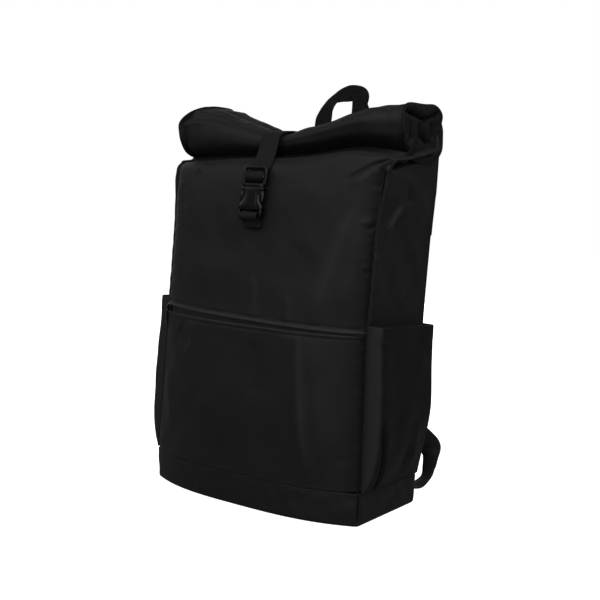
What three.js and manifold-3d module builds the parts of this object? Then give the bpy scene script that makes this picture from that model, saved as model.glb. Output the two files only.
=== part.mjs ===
// Roll-top laptop backpack in black polyester: a hollow sack of sewn cloth panels, its mouth rolled
// forward and held down by one webbing strap with a side-release buckle. Millimetres, +Z up, the front
// faces -Y, and the origin is the middle of the base's underside.
import * as THREE from "three";
import Module from "manifold-3d";
import { mergeVertices } from "three/addons/utils/BufferGeometryUtils.js";

const wasm = await Module();
wasm.setup();

// Driving dimensions
const CLOTH = 1.8; // polyester with its coating
const GAP = 0.4; // clearance between sewn neighbours
const BASE_FLOOR = 2.5; // thickness of the base's floor
const BASE_EDGE = 3.5; // roundness of the base's lower edge
const BASE_SEAM_Z = 31; // where the base meets the panels
const ZIP_Z = 209; // middle of the pocket's zip
const ZIP_TALL = 9; // visible height of the zip between its two welts
const SIDE_POCKET_Z = 212; // mouth of the side pockets
const BACK_PAD = 9; // foam back panel
const BACK_TOP_Z = 364; // top of the foam back panel
const WEBBING = 25; // width of the closure strap's webbing
const WEB_THICK = 1.6; // thickness of all webbing
const HANDLE_THICK = 2.4; // folded thickness of the handle's webbing
const ZIP_CLOTH = 1.2; // thickness of the zip's tape
const ZIP_RECESS = 0.8; // how far the tape lies behind the panels
const BASE_CORNER = { back: 5, cut: 1.5 }; // the base's upright back corners
const BACK_EDGE = 5; // thickness of the back panel at its bound edge
const BACK_CROWN = 3; // how much thicker the foam is along the middle
const BACK_SLAB = 4.5; // thickness of the moulded foam sheet

// Facets of each cloth piece.
const FACETS = {
  front: { columns: 22, rows: 16 },
  pocket: { columns: 20, rows: 10 },
  zip: { columns: 20, rows: 1 },
  gusset: { columns: 10, rows: 18 },
  sidePocket: { columns: 14, rows: 10 },
  back: { columns: 10, rows: 12 },
  roll: { columns: 44, rows: 13 },
  tuck: { columns: 12, rows: 5 },
};

// How soon a bulge or fold dies away towards a seam: the power of its distance from the middle.
const FADE = { bow: 3, fold: 8, flare: 6, box: 12, pad: 8, padEnds: 12, tuck: 4 };

// The sack, one row per level: the seams of the front with the sides, the seams of the back with the
// sides, the half width there and how far the front's middle bows out beyond its seams.
const LEVELS = [
  { name: "floor", frontZ: 0, frontY: -60, backZ: 0, backY: 64, half: 143, bow: 28 },
  { name: "base_seam", frontZ: 31, frontY: -60, backZ: 31, backY: 65, half: 143, bow: 29 },
  { name: "belly", frontZ: 115, frontY: -58, backZ: 115, backY: 68, half: 140, bow: 33 },
  { name: "zip", frontZ: 209, frontY: -56, backZ: 209, backY: 71, half: 137, bow: 29 },
  { name: "chest", frontZ: 290, frontY: -50, backZ: 290, backY: 73, half: 138, bow: 27 },
  { name: "shoulder", frontZ: 358, frontY: -44, backZ: 364, backY: 72, half: 141, bow: 25 },
  { name: "crease", frontZ: 377.5, frontY: -37, backZ: 396, backY: 63, half: 143, bow: 18 },
  { name: "neck", frontZ: 380.5, frontY: -14, backZ: 424, backY: 38, half: 144, bow: 6 },
];
const LAST = LEVELS.length - 1;
const SHOULDER = LEVELS.findIndex((row) => row.name === "shoulder");

// The roll, one row per station from its middle to its end: how far along it lies, the centre's depth,
// the half depth and the half height of its oval. Its underside stays on one line.
const ROLL_BOTTOM = 384;
const ROLL_STATIONS = [
  { along: 0, centreY: -15, halfDeep: 37, halfTall: 18 },
  { along: 18, centreY: -15, halfDeep: 37, halfTall: 18.1 },
  { along: 60, centreY: -11, halfDeep: 41, halfTall: 24.5 },
  { along: 105, centreY: -3, halfDeep: 49, halfTall: 31 },
  { along: 159, centreY: 8, halfDeep: 60, halfTall: 34.7 },
];
const ROLL_HALF = 159;
const ROLL_FRONT_CUT = 19; // how much shorter the roll is at its front than at its back, at each end
const ROLL_INNER_HALF = 126; // half length of the inner turns, behind the tucked gusset
const ROLL_START = 8; // degrees above the back where the upper back's cloth joins the roll
const ROLL_SQUARE = 0.74; // power that squares the oval a little
const ROLL_TURN = 840; // degrees that the cloth goes on winding forward
const ROLL_PITCH = 0.2; // share of the oval lost in each turn
const TUCK_AT = 136; // where the gusset's tucked top stands inside each end of the roll
const TUCK_PLEAT = { deep: 6, apart: 26 }; // the tuck's upright pleats
const SLOPE_BEND = { forward: 2, rise: 0.85 }; // the upper back's bend, before its back and up its height
const SLOPE_SHARE = 0.18; // share of the rolled cloth's facets on the upper back
const ROLL_SPREAD = 60; // degrees over which the cloth widens from the sack to the roll
const ROLL_INNER = { from: 230, over: 100 }; // degrees over which it narrows into the inner turns
const TUCK_SHARE = 0.78; // size of the tuck beside the roll's oval
const TUCK_INSET = 3; // and how much less it is at its front and its top
const EAR_FROM = 0.6; // levels below the shoulder where the gussets start to stand out past the seams
const EAR_FLARE = 6; // how far the gussets' tops stand out past the seams, under the roll's ends
const EAR_RISE = 0.75; // share of the upper back's slope that they climb
const ROLL_CLOTH = 2.4; // front and back cloth lying together

// Folds pressed into the panels, one row each: a line from one point to another in the panel's own
// across and height, its half width, and its depth, outward where positive.
const FRONT_FOLDS = [
  { fromX: 136, fromZ: 352, toX: 92, toZ: 330, wide: 9, deep: -4 },
  { fromX: 132, fromZ: 335, toX: 62, toZ: 225, wide: 16, deep: 5 },
  { fromX: 134, fromZ: 300, toX: 100, toZ: 222, wide: 13, deep: -4 },
  { fromX: 138, fromZ: 296, toX: 118, toZ: 292, wide: 7, deep: -3.5 },
  { fromX: -20, fromZ: 212, toX: -16, toZ: 240, wide: 8, deep: 2 },
  { fromX: -128, fromZ: 352, toX: -112, toZ: 330, wide: 9, deep: -3 },
];
const POCKET_FOLDS = [
  { fromX: 52, fromZ: 198, toX: 58, toZ: 60, wide: 15, deep: 4.5 },
  { fromX: 8, fromZ: 196, toX: 20, toZ: 120, wide: 16, deep: -3 },
  { fromX: -108, fromZ: 192, toX: -88, toZ: 172, wide: 14, deep: -4 },
  { fromX: 96, fromZ: 58, toX: 132, toZ: 66, wide: 8, deep: -3 },
];
const GUSSET_FOLDS = [
  { fromX: -40, fromZ: 344, toX: 22, toZ: 372, wide: 9, deep: -5 },
  { fromX: -30, fromZ: 330, toX: 40, toZ: 352, wide: 10, deep: 4 },
  { fromX: -4, fromZ: 285, toX: 22, toZ: 338, wide: 9, deep: 4 },
  { fromX: 44, fromZ: 268, toX: 24, toZ: 238, wide: 10, deep: -3 },
];
// How far a side pocket stands out, one row per share of its height.
const SIDE_POCKET_BULGE = [
  { rise: 0, out: 0 },
  { rise: 0.07, out: 8 },
  { rise: 0.2, out: 16.5 },
  { rise: 0.45, out: 21 },
  { rise: 0.75, out: 17 },
  { rise: 1, out: 14 },
];
const SIDE_POCKET_TAPER = 0.3; // share of that lost from the pocket's front to its back
const SIDE_POCKET_FOLDS = [
  { fromX: -28, fromZ: 34, toX: -20, toZ: 84, wide: 6, deep: -6 },
  { fromX: -38, fromZ: 40, toX: -36, toZ: 200, wide: 9, deep: 3 },
];

// The handle's centre line, one row per point of its right half, from its sewn foot to the top's middle,
// with the width of its webbing, which puckers where it turns.
const HANDLE = [
  { x: 27, y: 83.5, z: 351, wide: 23 },
  { x: 27, y: 80.8, z: 366, wide: 23 },
  { x: 27, y: 83.5, z: 392, wide: 23 },
  { x: 27.5, y: 88, z: 432, wide: 21 },
  { x: 22.5, y: 98, z: 457, wide: 16 },
  { x: 12.5, y: 104.5, z: 472, wide: 19 },
  { x: 0, y: 106, z: 473.5, wide: 22 },
];

// The right shoulder strap's centre line, one row per section from its sewn top to its lower end.
const SHOULDER_STRAP = [
  { x: 45, y: 90, z: 344, wide: 58, thick: 9 },
  { x: 46, y: 97, z: 318, wide: 60, thick: 11 },
  { x: 52, y: 113, z: 268, wide: 60, thick: 11 },
  { x: 62, y: 122, z: 215, wide: 58, thick: 11 },
  { x: 76, y: 121, z: 168, wide: 54, thick: 10 },
  { x: 91, y: 113, z: 126, wide: 42, thick: 8 },
];

// The right adjusting webbing, one row per point from the ladder lock to the base's corner, with the
// turn of its width from level to upright in degrees.
const ADJUSTER = [
  { x: 104, y: 101, z: 92, turn: 30 },
  { x: 113, y: 103, z: 80, turn: 55 },
  { x: 125, y: 115, z: 66, turn: 80 },
  { x: 132, y: 129, z: 56, turn: 85 },
  { x: 133, y: 127, z: 43, turn: 60 },
  { x: 130, y: 109, z: 29, turn: 30 },
  { x: 126, y: 86, z: 21, turn: 8 },
  { x: 124, y: 65.9, z: 18, turn: 0 },
];
const ADJUSTER_WEB = 25; // width of the adjusting webbing
const HANDLE_FACE = new THREE.Vector3(0, 1, -0.35).normalize(); // the way the handle's flat side looks
const STRAP_EDGE = 3; // chamfer along the shoulder straps
const STRAP_ACROSS = new THREE.Vector3(1, 0, 0.25); // the shoulder straps' width, dipping to the middle
// The ladder lock, in its own upright frame: heights from its middle.
const LOCK = { wide: 33, low: -11, high: 9, cut: 2, thick: 3.6, slot: 26 };
const LOCK_SLOTS = [
  { name: "lower", low: -8.5, high: -3.5 },
  { name: "upper", low: 2, high: 6 },
];
// The webbing round the lock's lower bar: how far it stands off the bar's face, and its height.
const LOCK_TURN = [
  { face: 1, off: 3, z: -34 },
  { face: 1, off: 1, z: -20 },
  { face: 1, off: 0, z: -10 },
  { face: 1, off: 0, z: -7.2 },
  { face: 0, off: 0, z: -5.6 },
  { face: -1, off: 0, z: -7.2 },
  { face: -1, off: 0, z: -10 },
  { face: -1, off: 0.5, z: -15 },
];

// The buckle, in its own upright frame: heights from its middle.
const BUCKLE_AT = { x: -3, y: -77.5, z: 349.5, leanDegrees: 9 };
const BUCKLE_WIDE = 32;
const BUCKLE_TOP = 29;
const BUCKLE_BOTTOM = -29;
const SOCKET_TOP = 5;
const SOCKET_THICK = 7.8;
const SOCKET_CORNER = 4;
const PLUG_THICK = 4.2;
const PLUG_CORNER = 3;
const SLOT_WIDE = WEBBING + 1.2;
const UPPER_SLOT = { low: 19.5, middle: 22, high: 24.5 };
const LOWER_SLOT = { low: 10, middle: 12.5, high: 15 };
const TAB_SLOT = { low: -25.5, middle: -23, high: -20.5 };
const TIP = { low: -12, high: 1, inner: 7, outer: 15.6 }; // the plug's side levers
const TONGUE = { wide: 20, low: -6, high: 7 }; // the plug's tongue
const MOUTH = { wide: 23, deep: 5.2, low: -14, high: 6 }; // the socket's hollow
const WINDOW = { wide: 12, x: 16, low: -13.5, high: 2 }; // the socket's openings for the levers
const STRAP_TURN = 2; // half height of the strap's step through a slot
const STRAP_LIFT = 1.2; // clearance of the strap over the roll
const STRAP_ON_SLOPE = [0.25, 0.45, 0.65, 0.85]; // where the strap lies on the upper back, from its sewn end
const STRAP_ON_ROLL = { from: 15, to: 185, step: 10 }; // degrees of the roll that it goes over
const TAB = { low: 305, rise: 11, clear: 1.4, step: 1.6 }; // the socket's tab, from its sewn end

// The zip's slider: body, loop and pull, as width, depth, lower and upper end, and how far in front.
const SLIDER_ACROSS = -0.92;
const SLIDER_FRONT = 2.2;
const SLIDER_BLOCKS = [
  { wide: 9, deep: 4, low: -3.4, high: 3.4, front: 0 },
  { wide: 4, deep: 3, low: -5, high: -2, front: 3 },
  { wide: 5, deep: 1.6, low: -19, high: -3, front: 4.2 },
];

const CLOTH_BLACK = { color: 0x1a1a1b, roughness: 0.62, metalness: 0 };
const WEB_BLACK = { color: 0x181819, roughness: 0.75, metalness: 0 };
const PLASTIC_BLACK = { color: 0x111112, roughness: 0.4, metalness: 0 };
const ZIP_BLACK = { color: 0x151516, roughness: 0.55, metalness: 0 };

const root = new THREE.Group();

function place(name, finish, geometry) {
  const mesh = new THREE.Mesh(geometry, new THREE.MeshStandardMaterial(finish));
  mesh.name = name;
  root.add(mesh);
}

const mix = (a, b, t) => a + (b - a) * t;
const clamp01 = (t) => Math.min(1, Math.max(0, t));
const ease = (t) => clamp01(t) ** 2 * (3 - 2 * clamp01(t));
const vec = (x, y, z) => new THREE.Vector3(x, y, z);

// A column of a table at a fractional row, as a smooth curve through the rows.
function column(table, key, at) {
  const i = Math.min(table.length - 2, Math.max(0, Math.floor(at)));
  const t = at - i;
  const value = (n) => table[Math.min(table.length - 1, Math.max(0, n))][key];
  const slopeIn = (value(i + 1) - value(i - 1)) / 2;
  const slopeOut = (value(i + 2) - value(i)) / 2;
  const rise = value(i + 1) - value(i);
  const a = slopeIn + slopeOut - 2 * rise;
  const b = 3 * rise - 2 * slopeIn - slopeOut;
  return ((a * t + b) * t + slopeIn) * t + value(i);
}

// The fractional row at which a rising column reaches a value.
function rowAt(table, key, wanted) {
  let low = 0;
  let high = table.length - 1;
  for (let step = 0; step < 40; step++) {
    const middle = (low + high) / 2;
    if (column(table, key, middle) < wanted) low = middle;
    else high = middle;
  }
  return (low + high) / 2;
}

// How far the folds of a table push a panel out at one point of it.
function foldPush(folds, x, z) {
  let push = 0;
  for (const fold of folds) {
    const runX = fold.toX - fold.fromX;
    const runZ = fold.toZ - fold.fromZ;
    const along = clamp01(((x - fold.fromX) * runX + (z - fold.fromZ) * runZ) / (runX ** 2 + runZ ** 2));
    const away = Math.hypot(x - fold.fromX - along * runX, z - fold.fromZ - along * runZ);
    push += fold.deep * Math.exp(-((away / fold.wide) ** 2));
  }
  return push;
}

// A closed geometry from vertices and triangles, turned so that its faces point out.
function closed(points, triangles) {
  let volume = 0;
  for (const [a, b, c] of triangles) {
    volume += points[a].dot(new THREE.Vector3().crossVectors(points[b], points[c]));
  }
  const index = triangles.flatMap(([a, b, c]) => (volume < 0 ? [a, c, b] : [a, b, c]));
  const geometry = new THREE.BufferGeometry().setFromPoints(points);
  geometry.setIndex(index);
  return geometry;
}

// A cloth wall: the outer face is surface(u, v), and the inner one lies a thickness behind it, on the
// side that inward gives: 1 along du x dv, -1 against it.
function wall(surface, facets, thickness, inward) {
  const { columns, rows } = facets;
  const step = 1e-3;
  const outer = [];
  const inner = [];
  for (let j = 0; j <= rows; j++) {
    for (let i = 0; i <= columns; i++) {
      const u = i / columns;
      const v = j / rows;
      const point = surface(u, v);
      const du = surface(Math.min(1, u + step), v).sub(surface(Math.max(0, u - step), v));
      const dv = surface(u, Math.min(1, v + step)).sub(surface(u, Math.max(0, v - step)));
      const normal = du.cross(dv).normalize().multiplyScalar(inward * thickness);
      outer.push(point);
      inner.push(point.clone().add(normal));
    }
  }
  const points = [...outer, ...inner];
  const across = columns + 1;
  const shift = outer.length;
  const triangles = [];
  const quad = (a, b, c, d) => triangles.push([a, b, c], [a, c, d]);
  for (let j = 0; j < rows; j++) {
    for (let i = 0; i < columns; i++) {
      const a = j * across + i;
      quad(a, a + 1, a + across + 1, a + across);
      quad(shift + a, shift + a + across, shift + a + across + 1, shift + a + 1);
    }
  }
  for (let i = 0; i < columns; i++) {
    const top = rows * across + i;
    quad(i + 1, i, shift + i, shift + i + 1);
    quad(top, top + 1, shift + top + 1, shift + top);
  }
  for (let j = 0; j < rows; j++) {
    const left = j * across;
    const right = left + columns;
    quad(left, left + across, shift + left + across, shift + left);
    quad(right + across, right, shift + right, shift + right + across);
  }
  return closed(points, triangles);
}

// A solid through rings of points, each ring convex, with both ends closed by a fan.
function loft(rings) {
  const sides = rings[0].length;
  const triangles = [];
  for (let j = 0; j < rings.length - 1; j++) {
    for (let i = 0; i < sides; i++) {
      const a = j * sides + i;
      const b = j * sides + ((i + 1) % sides);
      triangles.push([a, b, b + sides], [a, b + sides, a + sides]);
    }
  }
  const last = (rings.length - 1) * sides;
  for (let i = 1; i < sides - 1; i++) {
    triangles.push([0, i + 1, i], [last, last + i, last + i + 1]);
  }
  return closed(rings.flat(), triangles);
}

// A flat band along a line: stops hold its centre and its across direction, and the edges are chamfered
// where edge is given.
function band(stops, width, thickness, edge = 0) {
  const rings = stops.map((stop, i) => {
    const before = stops[Math.max(0, i - 1)].at;
    const after = stops[Math.min(stops.length - 1, i + 1)].at;
    const run = after.clone().sub(before).normalize();
    const face = run.clone().cross(stop.across).normalize();
    const across = face.clone().cross(run).normalize();
    const w = (stop.width ?? width) / 2;
    const t = (stop.thickness ?? thickness) / 2;
    const corners = edge
      ? [[-w, edge - t], [edge - w, -t], [w - edge, -t], [w, edge - t],
         [w, t - edge], [w - edge, t], [edge - w, t], [-w, t - edge]]
      : [[-w, -t], [w, -t], [w, t], [-w, t]];
    return corners.map(([a, b]) => stop.at.clone().addScaledVector(across, a).addScaledVector(face, b));
  });
  return loft(rings);
}

function solidOf(geometry) {
  const bare = geometry.clone();
  bare.deleteAttribute("normal");
  bare.deleteAttribute("uv");
  const merged = mergeVertices(bare, 1e-4);
  return new wasm.Manifold(
    new wasm.Mesh({
      numProp: 3,
      vertProperties: new Float32Array(merged.attributes.position.array),
      triVerts: new Uint32Array(merged.index.array),
    }),
  );
}

function geometryOf(solid) {
  const mesh = solid.getMesh();
  const geometry = new THREE.BufferGeometry();
  geometry.setAttribute("position", new THREE.BufferAttribute(new Float32Array(mesh.vertProperties), 3));
  geometry.setIndex(new THREE.BufferAttribute(new Uint32Array(mesh.triVerts), 1));
  return geometry;
}

// The front's outer face: across runs from -1 at the left seam to 1 at the right one.
function frontAt(across, row) {
  const half = column(LEVELS, "half", row);
  const bow = column(LEVELS, "bow", row) * (1 - Math.abs(across) ** FADE.bow);
  return vec(half * across, column(LEVELS, "frontY", row) - bow, column(LEVELS, "frontZ", row));
}

// The roll's oval at a station, at an angle from the back over the top, shrunk by share.
function rollAt(x, degrees, share) {
  const along = Math.min(Math.abs(x), ROLL_HALF);
  const row = rowAt(ROLL_STATIONS, "along", along);
  const halfTall = column(ROLL_STATIONS, "halfTall", row);
  const angle = THREE.MathUtils.degToRad(degrees);
  const squared = (value) => Math.sign(value) * Math.abs(value) ** ROLL_SQUARE;
  const deep = share * column(ROLL_STATIONS, "halfDeep", row) * squared(Math.cos(angle));
  const tall = share * halfTall * squared(Math.sin(angle));
  return vec(x, column(ROLL_STATIONS, "centreY", row) + deep, ROLL_BOTTOM + halfTall + tall);
}

// The upper back's slope from the back panel's top to the roll, where rise runs from 0 to 1.
function slopeAt(across, rise) {
  const half = mix(LEVELS[SHOULDER].half, LEVELS[LAST].half, rise);
  const foot = vec(0, LEVELS[SHOULDER].backY, BACK_TOP_Z + GAP);
  const head = rollAt(across * ROLL_HALF, ROLL_START, 1);
  const bend = vec(0, foot.y - SLOPE_BEND.forward, mix(foot.z, head.z, SLOPE_BEND.rise));
  const curve = new THREE.QuadraticBezierCurve3(foot, bend, head.clone().setX(0));
  return curve.getPoint(rise).setX(half * across);
}

// The base: a tray with a floor, from the lower edge up to the seam.
function basePanel() {
  const frontSteps = 18;
  const sideSteps = 4;
  const outline = (row, inset) => {
    const half = column(LEVELS, "half", row) - inset;
    const backY = column(LEVELS, "backY", row) - inset;
    const points = [];
    for (let i = 0; i <= frontSteps; i++) {
      const across = (2 * i) / frontSteps - 1;
      const point = frontAt(across, row);
      points.push([half * across, point.y + inset]);
    }
    const frontY = points[0][1];
    const { back, cut } = BASE_CORNER;
    for (let i = 1; i <= sideSteps; i++) points.push([half, mix(frontY, backY - back, i / sideSteps)]);
    points.push([half - cut, backY - cut], [half - back, backY]);
    points.push([back - half, backY], [cut - half, backY - cut]);
    for (let i = sideSteps; i >= 1; i--) points.push([-half, mix(frontY, backY - back, i / sideSteps)]);
    return points;
  };
  const ring = (z, inset) => outline(z / BASE_SEAM_Z, inset).map(([x, y]) => vec(x, y, z));
  const rings = [];
  for (const degrees of [0, 30, 60, 90]) {
    const angle = THREE.MathUtils.degToRad(degrees);
    rings.push(ring(BASE_EDGE * (1 - Math.cos(angle)), BASE_EDGE * (1 - Math.sin(angle))));
  }
  rings.push(ring(BASE_SEAM_Z, 0), ring(BASE_SEAM_Z, CLOTH), ring(BASE_EDGE, CLOTH));
  rings.push(ring(BASE_FLOOR, BASE_EDGE));
  return loft(rings);
}

// A piece of the front between two heights, pushed out by its folds.
function frontPiece(lowZ, highRow, folds, facets, thickness, recess = 0) {
  const lowRow = rowAt(LEVELS, "frontZ", lowZ);
  return wall(
    (u, v) => {
      const point = frontAt(2 * u - 1, mix(lowRow, highRow, v));
      point.y += recess - foldPush(folds, point.x, point.z) * (1 - Math.abs(2 * u - 1) ** FADE.fold);
      return point;
    },
    facets, thickness, -1,
  );
}

// A side gusset's outer face, from the front seam at 0 to the back seam at 1.
function gussetAt(side, depth, row) {
  const top = clamp01((row - SHOULDER) / (LAST - SHOULDER));
  const front = frontAt(1, row);
  const back = row > SHOULDER
    ? slopeAt(1, top * EAR_RISE)
    : vec(front.x, column(LEVELS, "backY", row), column(LEVELS, "backZ", row));
  const outside = ease((row - SHOULDER + EAR_FROM) / EAR_FROM);
  const seam = CLOTH + GAP;
  const flare = EAR_FLARE * top ** 2 * (1 - (2 * depth - 1) ** FADE.flare);
  const y = mix(front.y + seam, back.y - GAP, depth);
  const z = mix(front.z, back.z, mix(depth, depth ** 3, top));
  const fold = foldPush(GUSSET_FOLDS, y, z) * Math.sin(Math.PI * depth);
  return vec(side * (mix(front.x, back.x, depth) + seam * outside + flare + fold), y, z);
}

function gusset(side) {
  const lowRow = rowAt(LEVELS, "frontZ", BASE_SEAM_Z + GAP);
  return wall((u, v) => gussetAt(side, u, mix(lowRow, LAST, v)), FACETS.gusset, CLOTH, -side);
}

// A side pocket: a panel over the gusset, sewn at the front, back and bottom and standing open on top.
function sidePocket(side) {
  const lowZ = BASE_SEAM_Z + GAP;
  return wall(
    (u, v) => {
      const z = mix(lowZ, SIDE_POCKET_Z, v);
      const point = gussetAt(side, u, rowAt(LEVELS, "frontZ", z));
      const full = column(SIDE_POCKET_BULGE, "out", rowAt(SIDE_POCKET_BULGE, "rise", v));
      const box = Math.sqrt(1 - (2 * u - 1) ** FADE.box);
      const fold = foldPush(SIDE_POCKET_FOLDS, point.y, z) * Math.sin(Math.PI * u);
      const bulge = Math.max(0, full * box * (1 - SIDE_POCKET_TAPER * u) + fold);
      point.x += side * (2 * GAP + CLOTH * box + bulge);
      return point;
    },
    FACETS.sidePocket, CLOTH, -side,
  );
}

// The foam back panel: a crowned slab behind the sack.
function backPanel() {
  const lowRow = rowAt(LEVELS, "backZ", BASE_SEAM_Z + GAP);
  const highRow = rowAt(LEVELS, "backZ", BACK_TOP_Z - GAP);
  return wall(
    (u, v) => {
      const row = mix(lowRow, highRow, v);
      const across = 2 * u - 1;
      const full = (1 - across ** FADE.pad) * (1 - (2 * v - 1) ** FADE.padEnds);
      const thick = mix(BACK_EDGE, BACK_PAD + BACK_CROWN * (1 - across ** 2), full);
      const y = column(LEVELS, "backY", row) + thick;
      return vec(column(LEVELS, "half", row) * across, y, column(LEVELS, "backZ", row));
    },
    FACETS.back, BACK_SLAB, 1,
  );
}

// The upper back's cloth and the roll that it winds into, as one sheet.
function rollTop() {
  return wall(
    (u, v) => {
      const across = 2 * v - 1;
      if (u < SLOPE_SHARE) return slopeAt(across, u / SLOPE_SHARE);
      const turned = (ROLL_TURN * (u - SLOPE_SHARE)) / (1 - SLOPE_SHARE);
      const cut = (ROLL_FRONT_CUT / 2) * (1 - Math.cos(THREE.MathUtils.degToRad(turned)));
      const outer = mix(LEVELS[LAST].half, ROLL_HALF - cut, ease(turned / ROLL_SPREAD));
      const half = mix(outer, ROLL_INNER_HALF, ease((turned - ROLL_INNER.from) / ROLL_INNER.over));
      const point = rollAt(across * ROLL_HALF, ROLL_START + turned, 1 - (ROLL_PITCH * turned) / 360);
      return point.setX(across * half);
    },
    FACETS.roll, ROLL_CLOTH, -1,
  );
}

// The gusset's top, tucked in pleats inside the roll's end: an oval sheet just within the outer turn.
function rollTuck(side) {
  const end = ROLL_STATIONS.at(-1);
  const deep = TUCK_SHARE * end.halfDeep;
  const tall = TUCK_SHARE * end.halfTall - TUCK_INSET;
  return wall(
    (u, v) => {
      const s = 2 * u - 1;
      const t = 2 * v - 1;
      const y = end.centreY - TUCK_INSET + deep * s * Math.sqrt(1 - t ** 2 / 2);
      const z = ROLL_BOTTOM + end.halfTall + tall * t * Math.sqrt(1 - s ** 2 / 2);
      const fade = (1 - s ** FADE.tuck) * (1 - t ** FADE.tuck);
      const pleat = TUCK_PLEAT.deep * Math.cos((2 * Math.PI * y) / TUCK_PLEAT.apart) * fade;
      return vec(side * (TUCK_AT + pleat), y, z);
    },
    FACETS.tuck, CLOTH, -side,
  );
}

// Points of a smooth line through the rows of a table, with the table's other columns beside them.
function along(table, steps) {
  const stops = [];
  for (let i = 0; i <= steps; i++) {
    const at = (i / steps) * (table.length - 1);
    const stop = { at: vec(column(table, "x", at), column(table, "y", at), column(table, "z", at)) };
    if ("wide" in table[0]) stop.width = column(table, "wide", at);
    if ("thick" in table[0]) stop.thickness = column(table, "thick", at);
    if ("turn" in table[0]) stop.turn = column(table, "turn", at);
    stops.push(stop);
  }
  return stops;
}

// A geometry of the right side, or its mirror image for the left one.
function onSide(side, geometry) {
  if (side > 0) return geometry;
  const index = [...geometry.index.array];
  geometry.setIndex(index.map((_, i) => index[i - (i % 3) + [0, 2, 1][i % 3]]));
  return geometry.scale(-1, 1, 1);
}

// The grab handle: webbing that stays flat to the back while it goes round its arch.
function grabHandle() {
  const right = along(HANDLE, 14);
  const mirrored = right.map((stop) => ({ ...stop, at: stop.at.clone().setX(-stop.at.x) }));
  const stops = [...right, ...mirrored.slice(0, -1).reverse()];
  stops.forEach((stop, i) => {
    const before = stops[Math.max(0, i - 1)].at;
    const after = stops[Math.min(stops.length - 1, i + 1)].at;
    const run = after.clone().sub(before).normalize();
    stop.across = run.cross(HANDLE_FACE);
  });
  return band(stops, 0, HANDLE_THICK);
}

function shoulderStrap() {
  const stops = along(SHOULDER_STRAP, 12);
  for (const stop of stops) stop.across = STRAP_ACROSS;
  return band(stops, 0, 0, STRAP_EDGE);
}

// The frame of a ladder lock: its height follows the lower end of the shoulder strap.
function lockFrame() {
  const stops = along(SHOULDER_STRAP, 12).map((stop) => stop.at);
  const end = stops.at(-1);
  const up = stops.at(-2).clone().sub(end).normalize();
  const across = STRAP_ACROSS.clone().addScaledVector(up, -STRAP_ACROSS.dot(up)).normalize();
  const centre = end.clone().addScaledVector(up, -LOCK.high - GAP);
  return new THREE.Matrix4().makeBasis(across, up.clone().cross(across), up).setPosition(centre);
}

// A ladder lock: a small frame with two slots at the lower end of a shoulder strap.
function ladderLock() {
  const slots = LOCK_SLOTS.map((slot) => rectangle(LOCK.slot, slot.low, slot.high));
  const frame = plate(cutRectangle(LOCK.wide, LOCK.low, LOCK.high, LOCK.cut), slots, LOCK.thick);
  return geometryOf(solidOf(frame)).applyMatrix4(lockFrame());
}

// The adjusting webbing: its loose end hangs over the lock's lower bar, and it turns from level at the
// base to upright where it loops out behind the corner.
function adjuster() {
  const frame = lockFrame();
  const level = vec(1, 0, 0).transformDirection(frame);
  const clear = LOCK.thick / 2 + GAP + WEB_THICK / 2;
  const stops = LOCK_TURN.map(({ face, off, z }) => ({
    at: vec(0, face * (clear + off), z).applyMatrix4(frame),
    across: level,
  }));
  for (const stop of along(ADJUSTER, 25)) {
    const turn = THREE.MathUtils.degToRad(stop.turn);
    stops.push({ at: stop.at, across: vec(Math.cos(turn), 0, Math.sin(turn)) });
  }
  return band(stops, ADJUSTER_WEB, WEB_THICK);
}

// A plate with an outline in x and z, centred on its thickness, which lies along y.
function plate(outline, holes, thickness) {
  const shape = new THREE.Shape(outline.map(([x, z]) => new THREE.Vector2(x, z)));
  for (const hole of holes) shape.holes.push(new THREE.Path(hole.map(([x, z]) => new THREE.Vector2(x, z))));
  const geometry = new THREE.ExtrudeGeometry(shape, { depth: thickness, bevelEnabled: false });
  return geometry.translate(0, 0, -thickness / 2).rotateX(Math.PI / 2);
}

// A rectangle with its corners cut back, between two heights.
function cutRectangle(wide, low, high, cut) {
  const half = wide / 2;
  return [
    [cut - half, low], [half - cut, low], [half, low + cut], [half, high - cut],
    [half - cut, high], [cut - half, high], [-half, high - cut], [-half, low + cut],
  ];
}

function rectangle(wide, low, high) {
  return [[-wide / 2, low], [-wide / 2, high], [wide / 2, high], [wide / 2, low]];
}

function block(wide, deep, low, high) {
  return new THREE.BoxGeometry(wide, deep, high - low).translate(0, 0, (low + high) / 2);
}

// The buckle's plug: a frame with two slots for the strap, and a tongue with two side levers.
function bucklePlug() {
  const slots = [UPPER_SLOT, LOWER_SLOT].map((slot) => rectangle(SLOT_WIDE, slot.low, slot.high));
  const outline = cutRectangle(BUCKLE_WIDE, SOCKET_TOP + GAP, BUCKLE_TOP, PLUG_CORNER);
  const frame = plate(outline, slots, PLUG_THICK);
  let solid = solidOf(frame).add(solidOf(block(TONGUE.wide, PLUG_THICK, TONGUE.low, TONGUE.high)));
  for (const side of [-1, 1]) {
    const tip = block(TIP.outer - TIP.inner, PLUG_THICK, TIP.low, TIP.high);
    solid = solid.add(solidOf(tip.translate((side * (TIP.outer + TIP.inner)) / 2, 0, 0)));
  }
  return geometryOf(solid);
}

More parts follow.
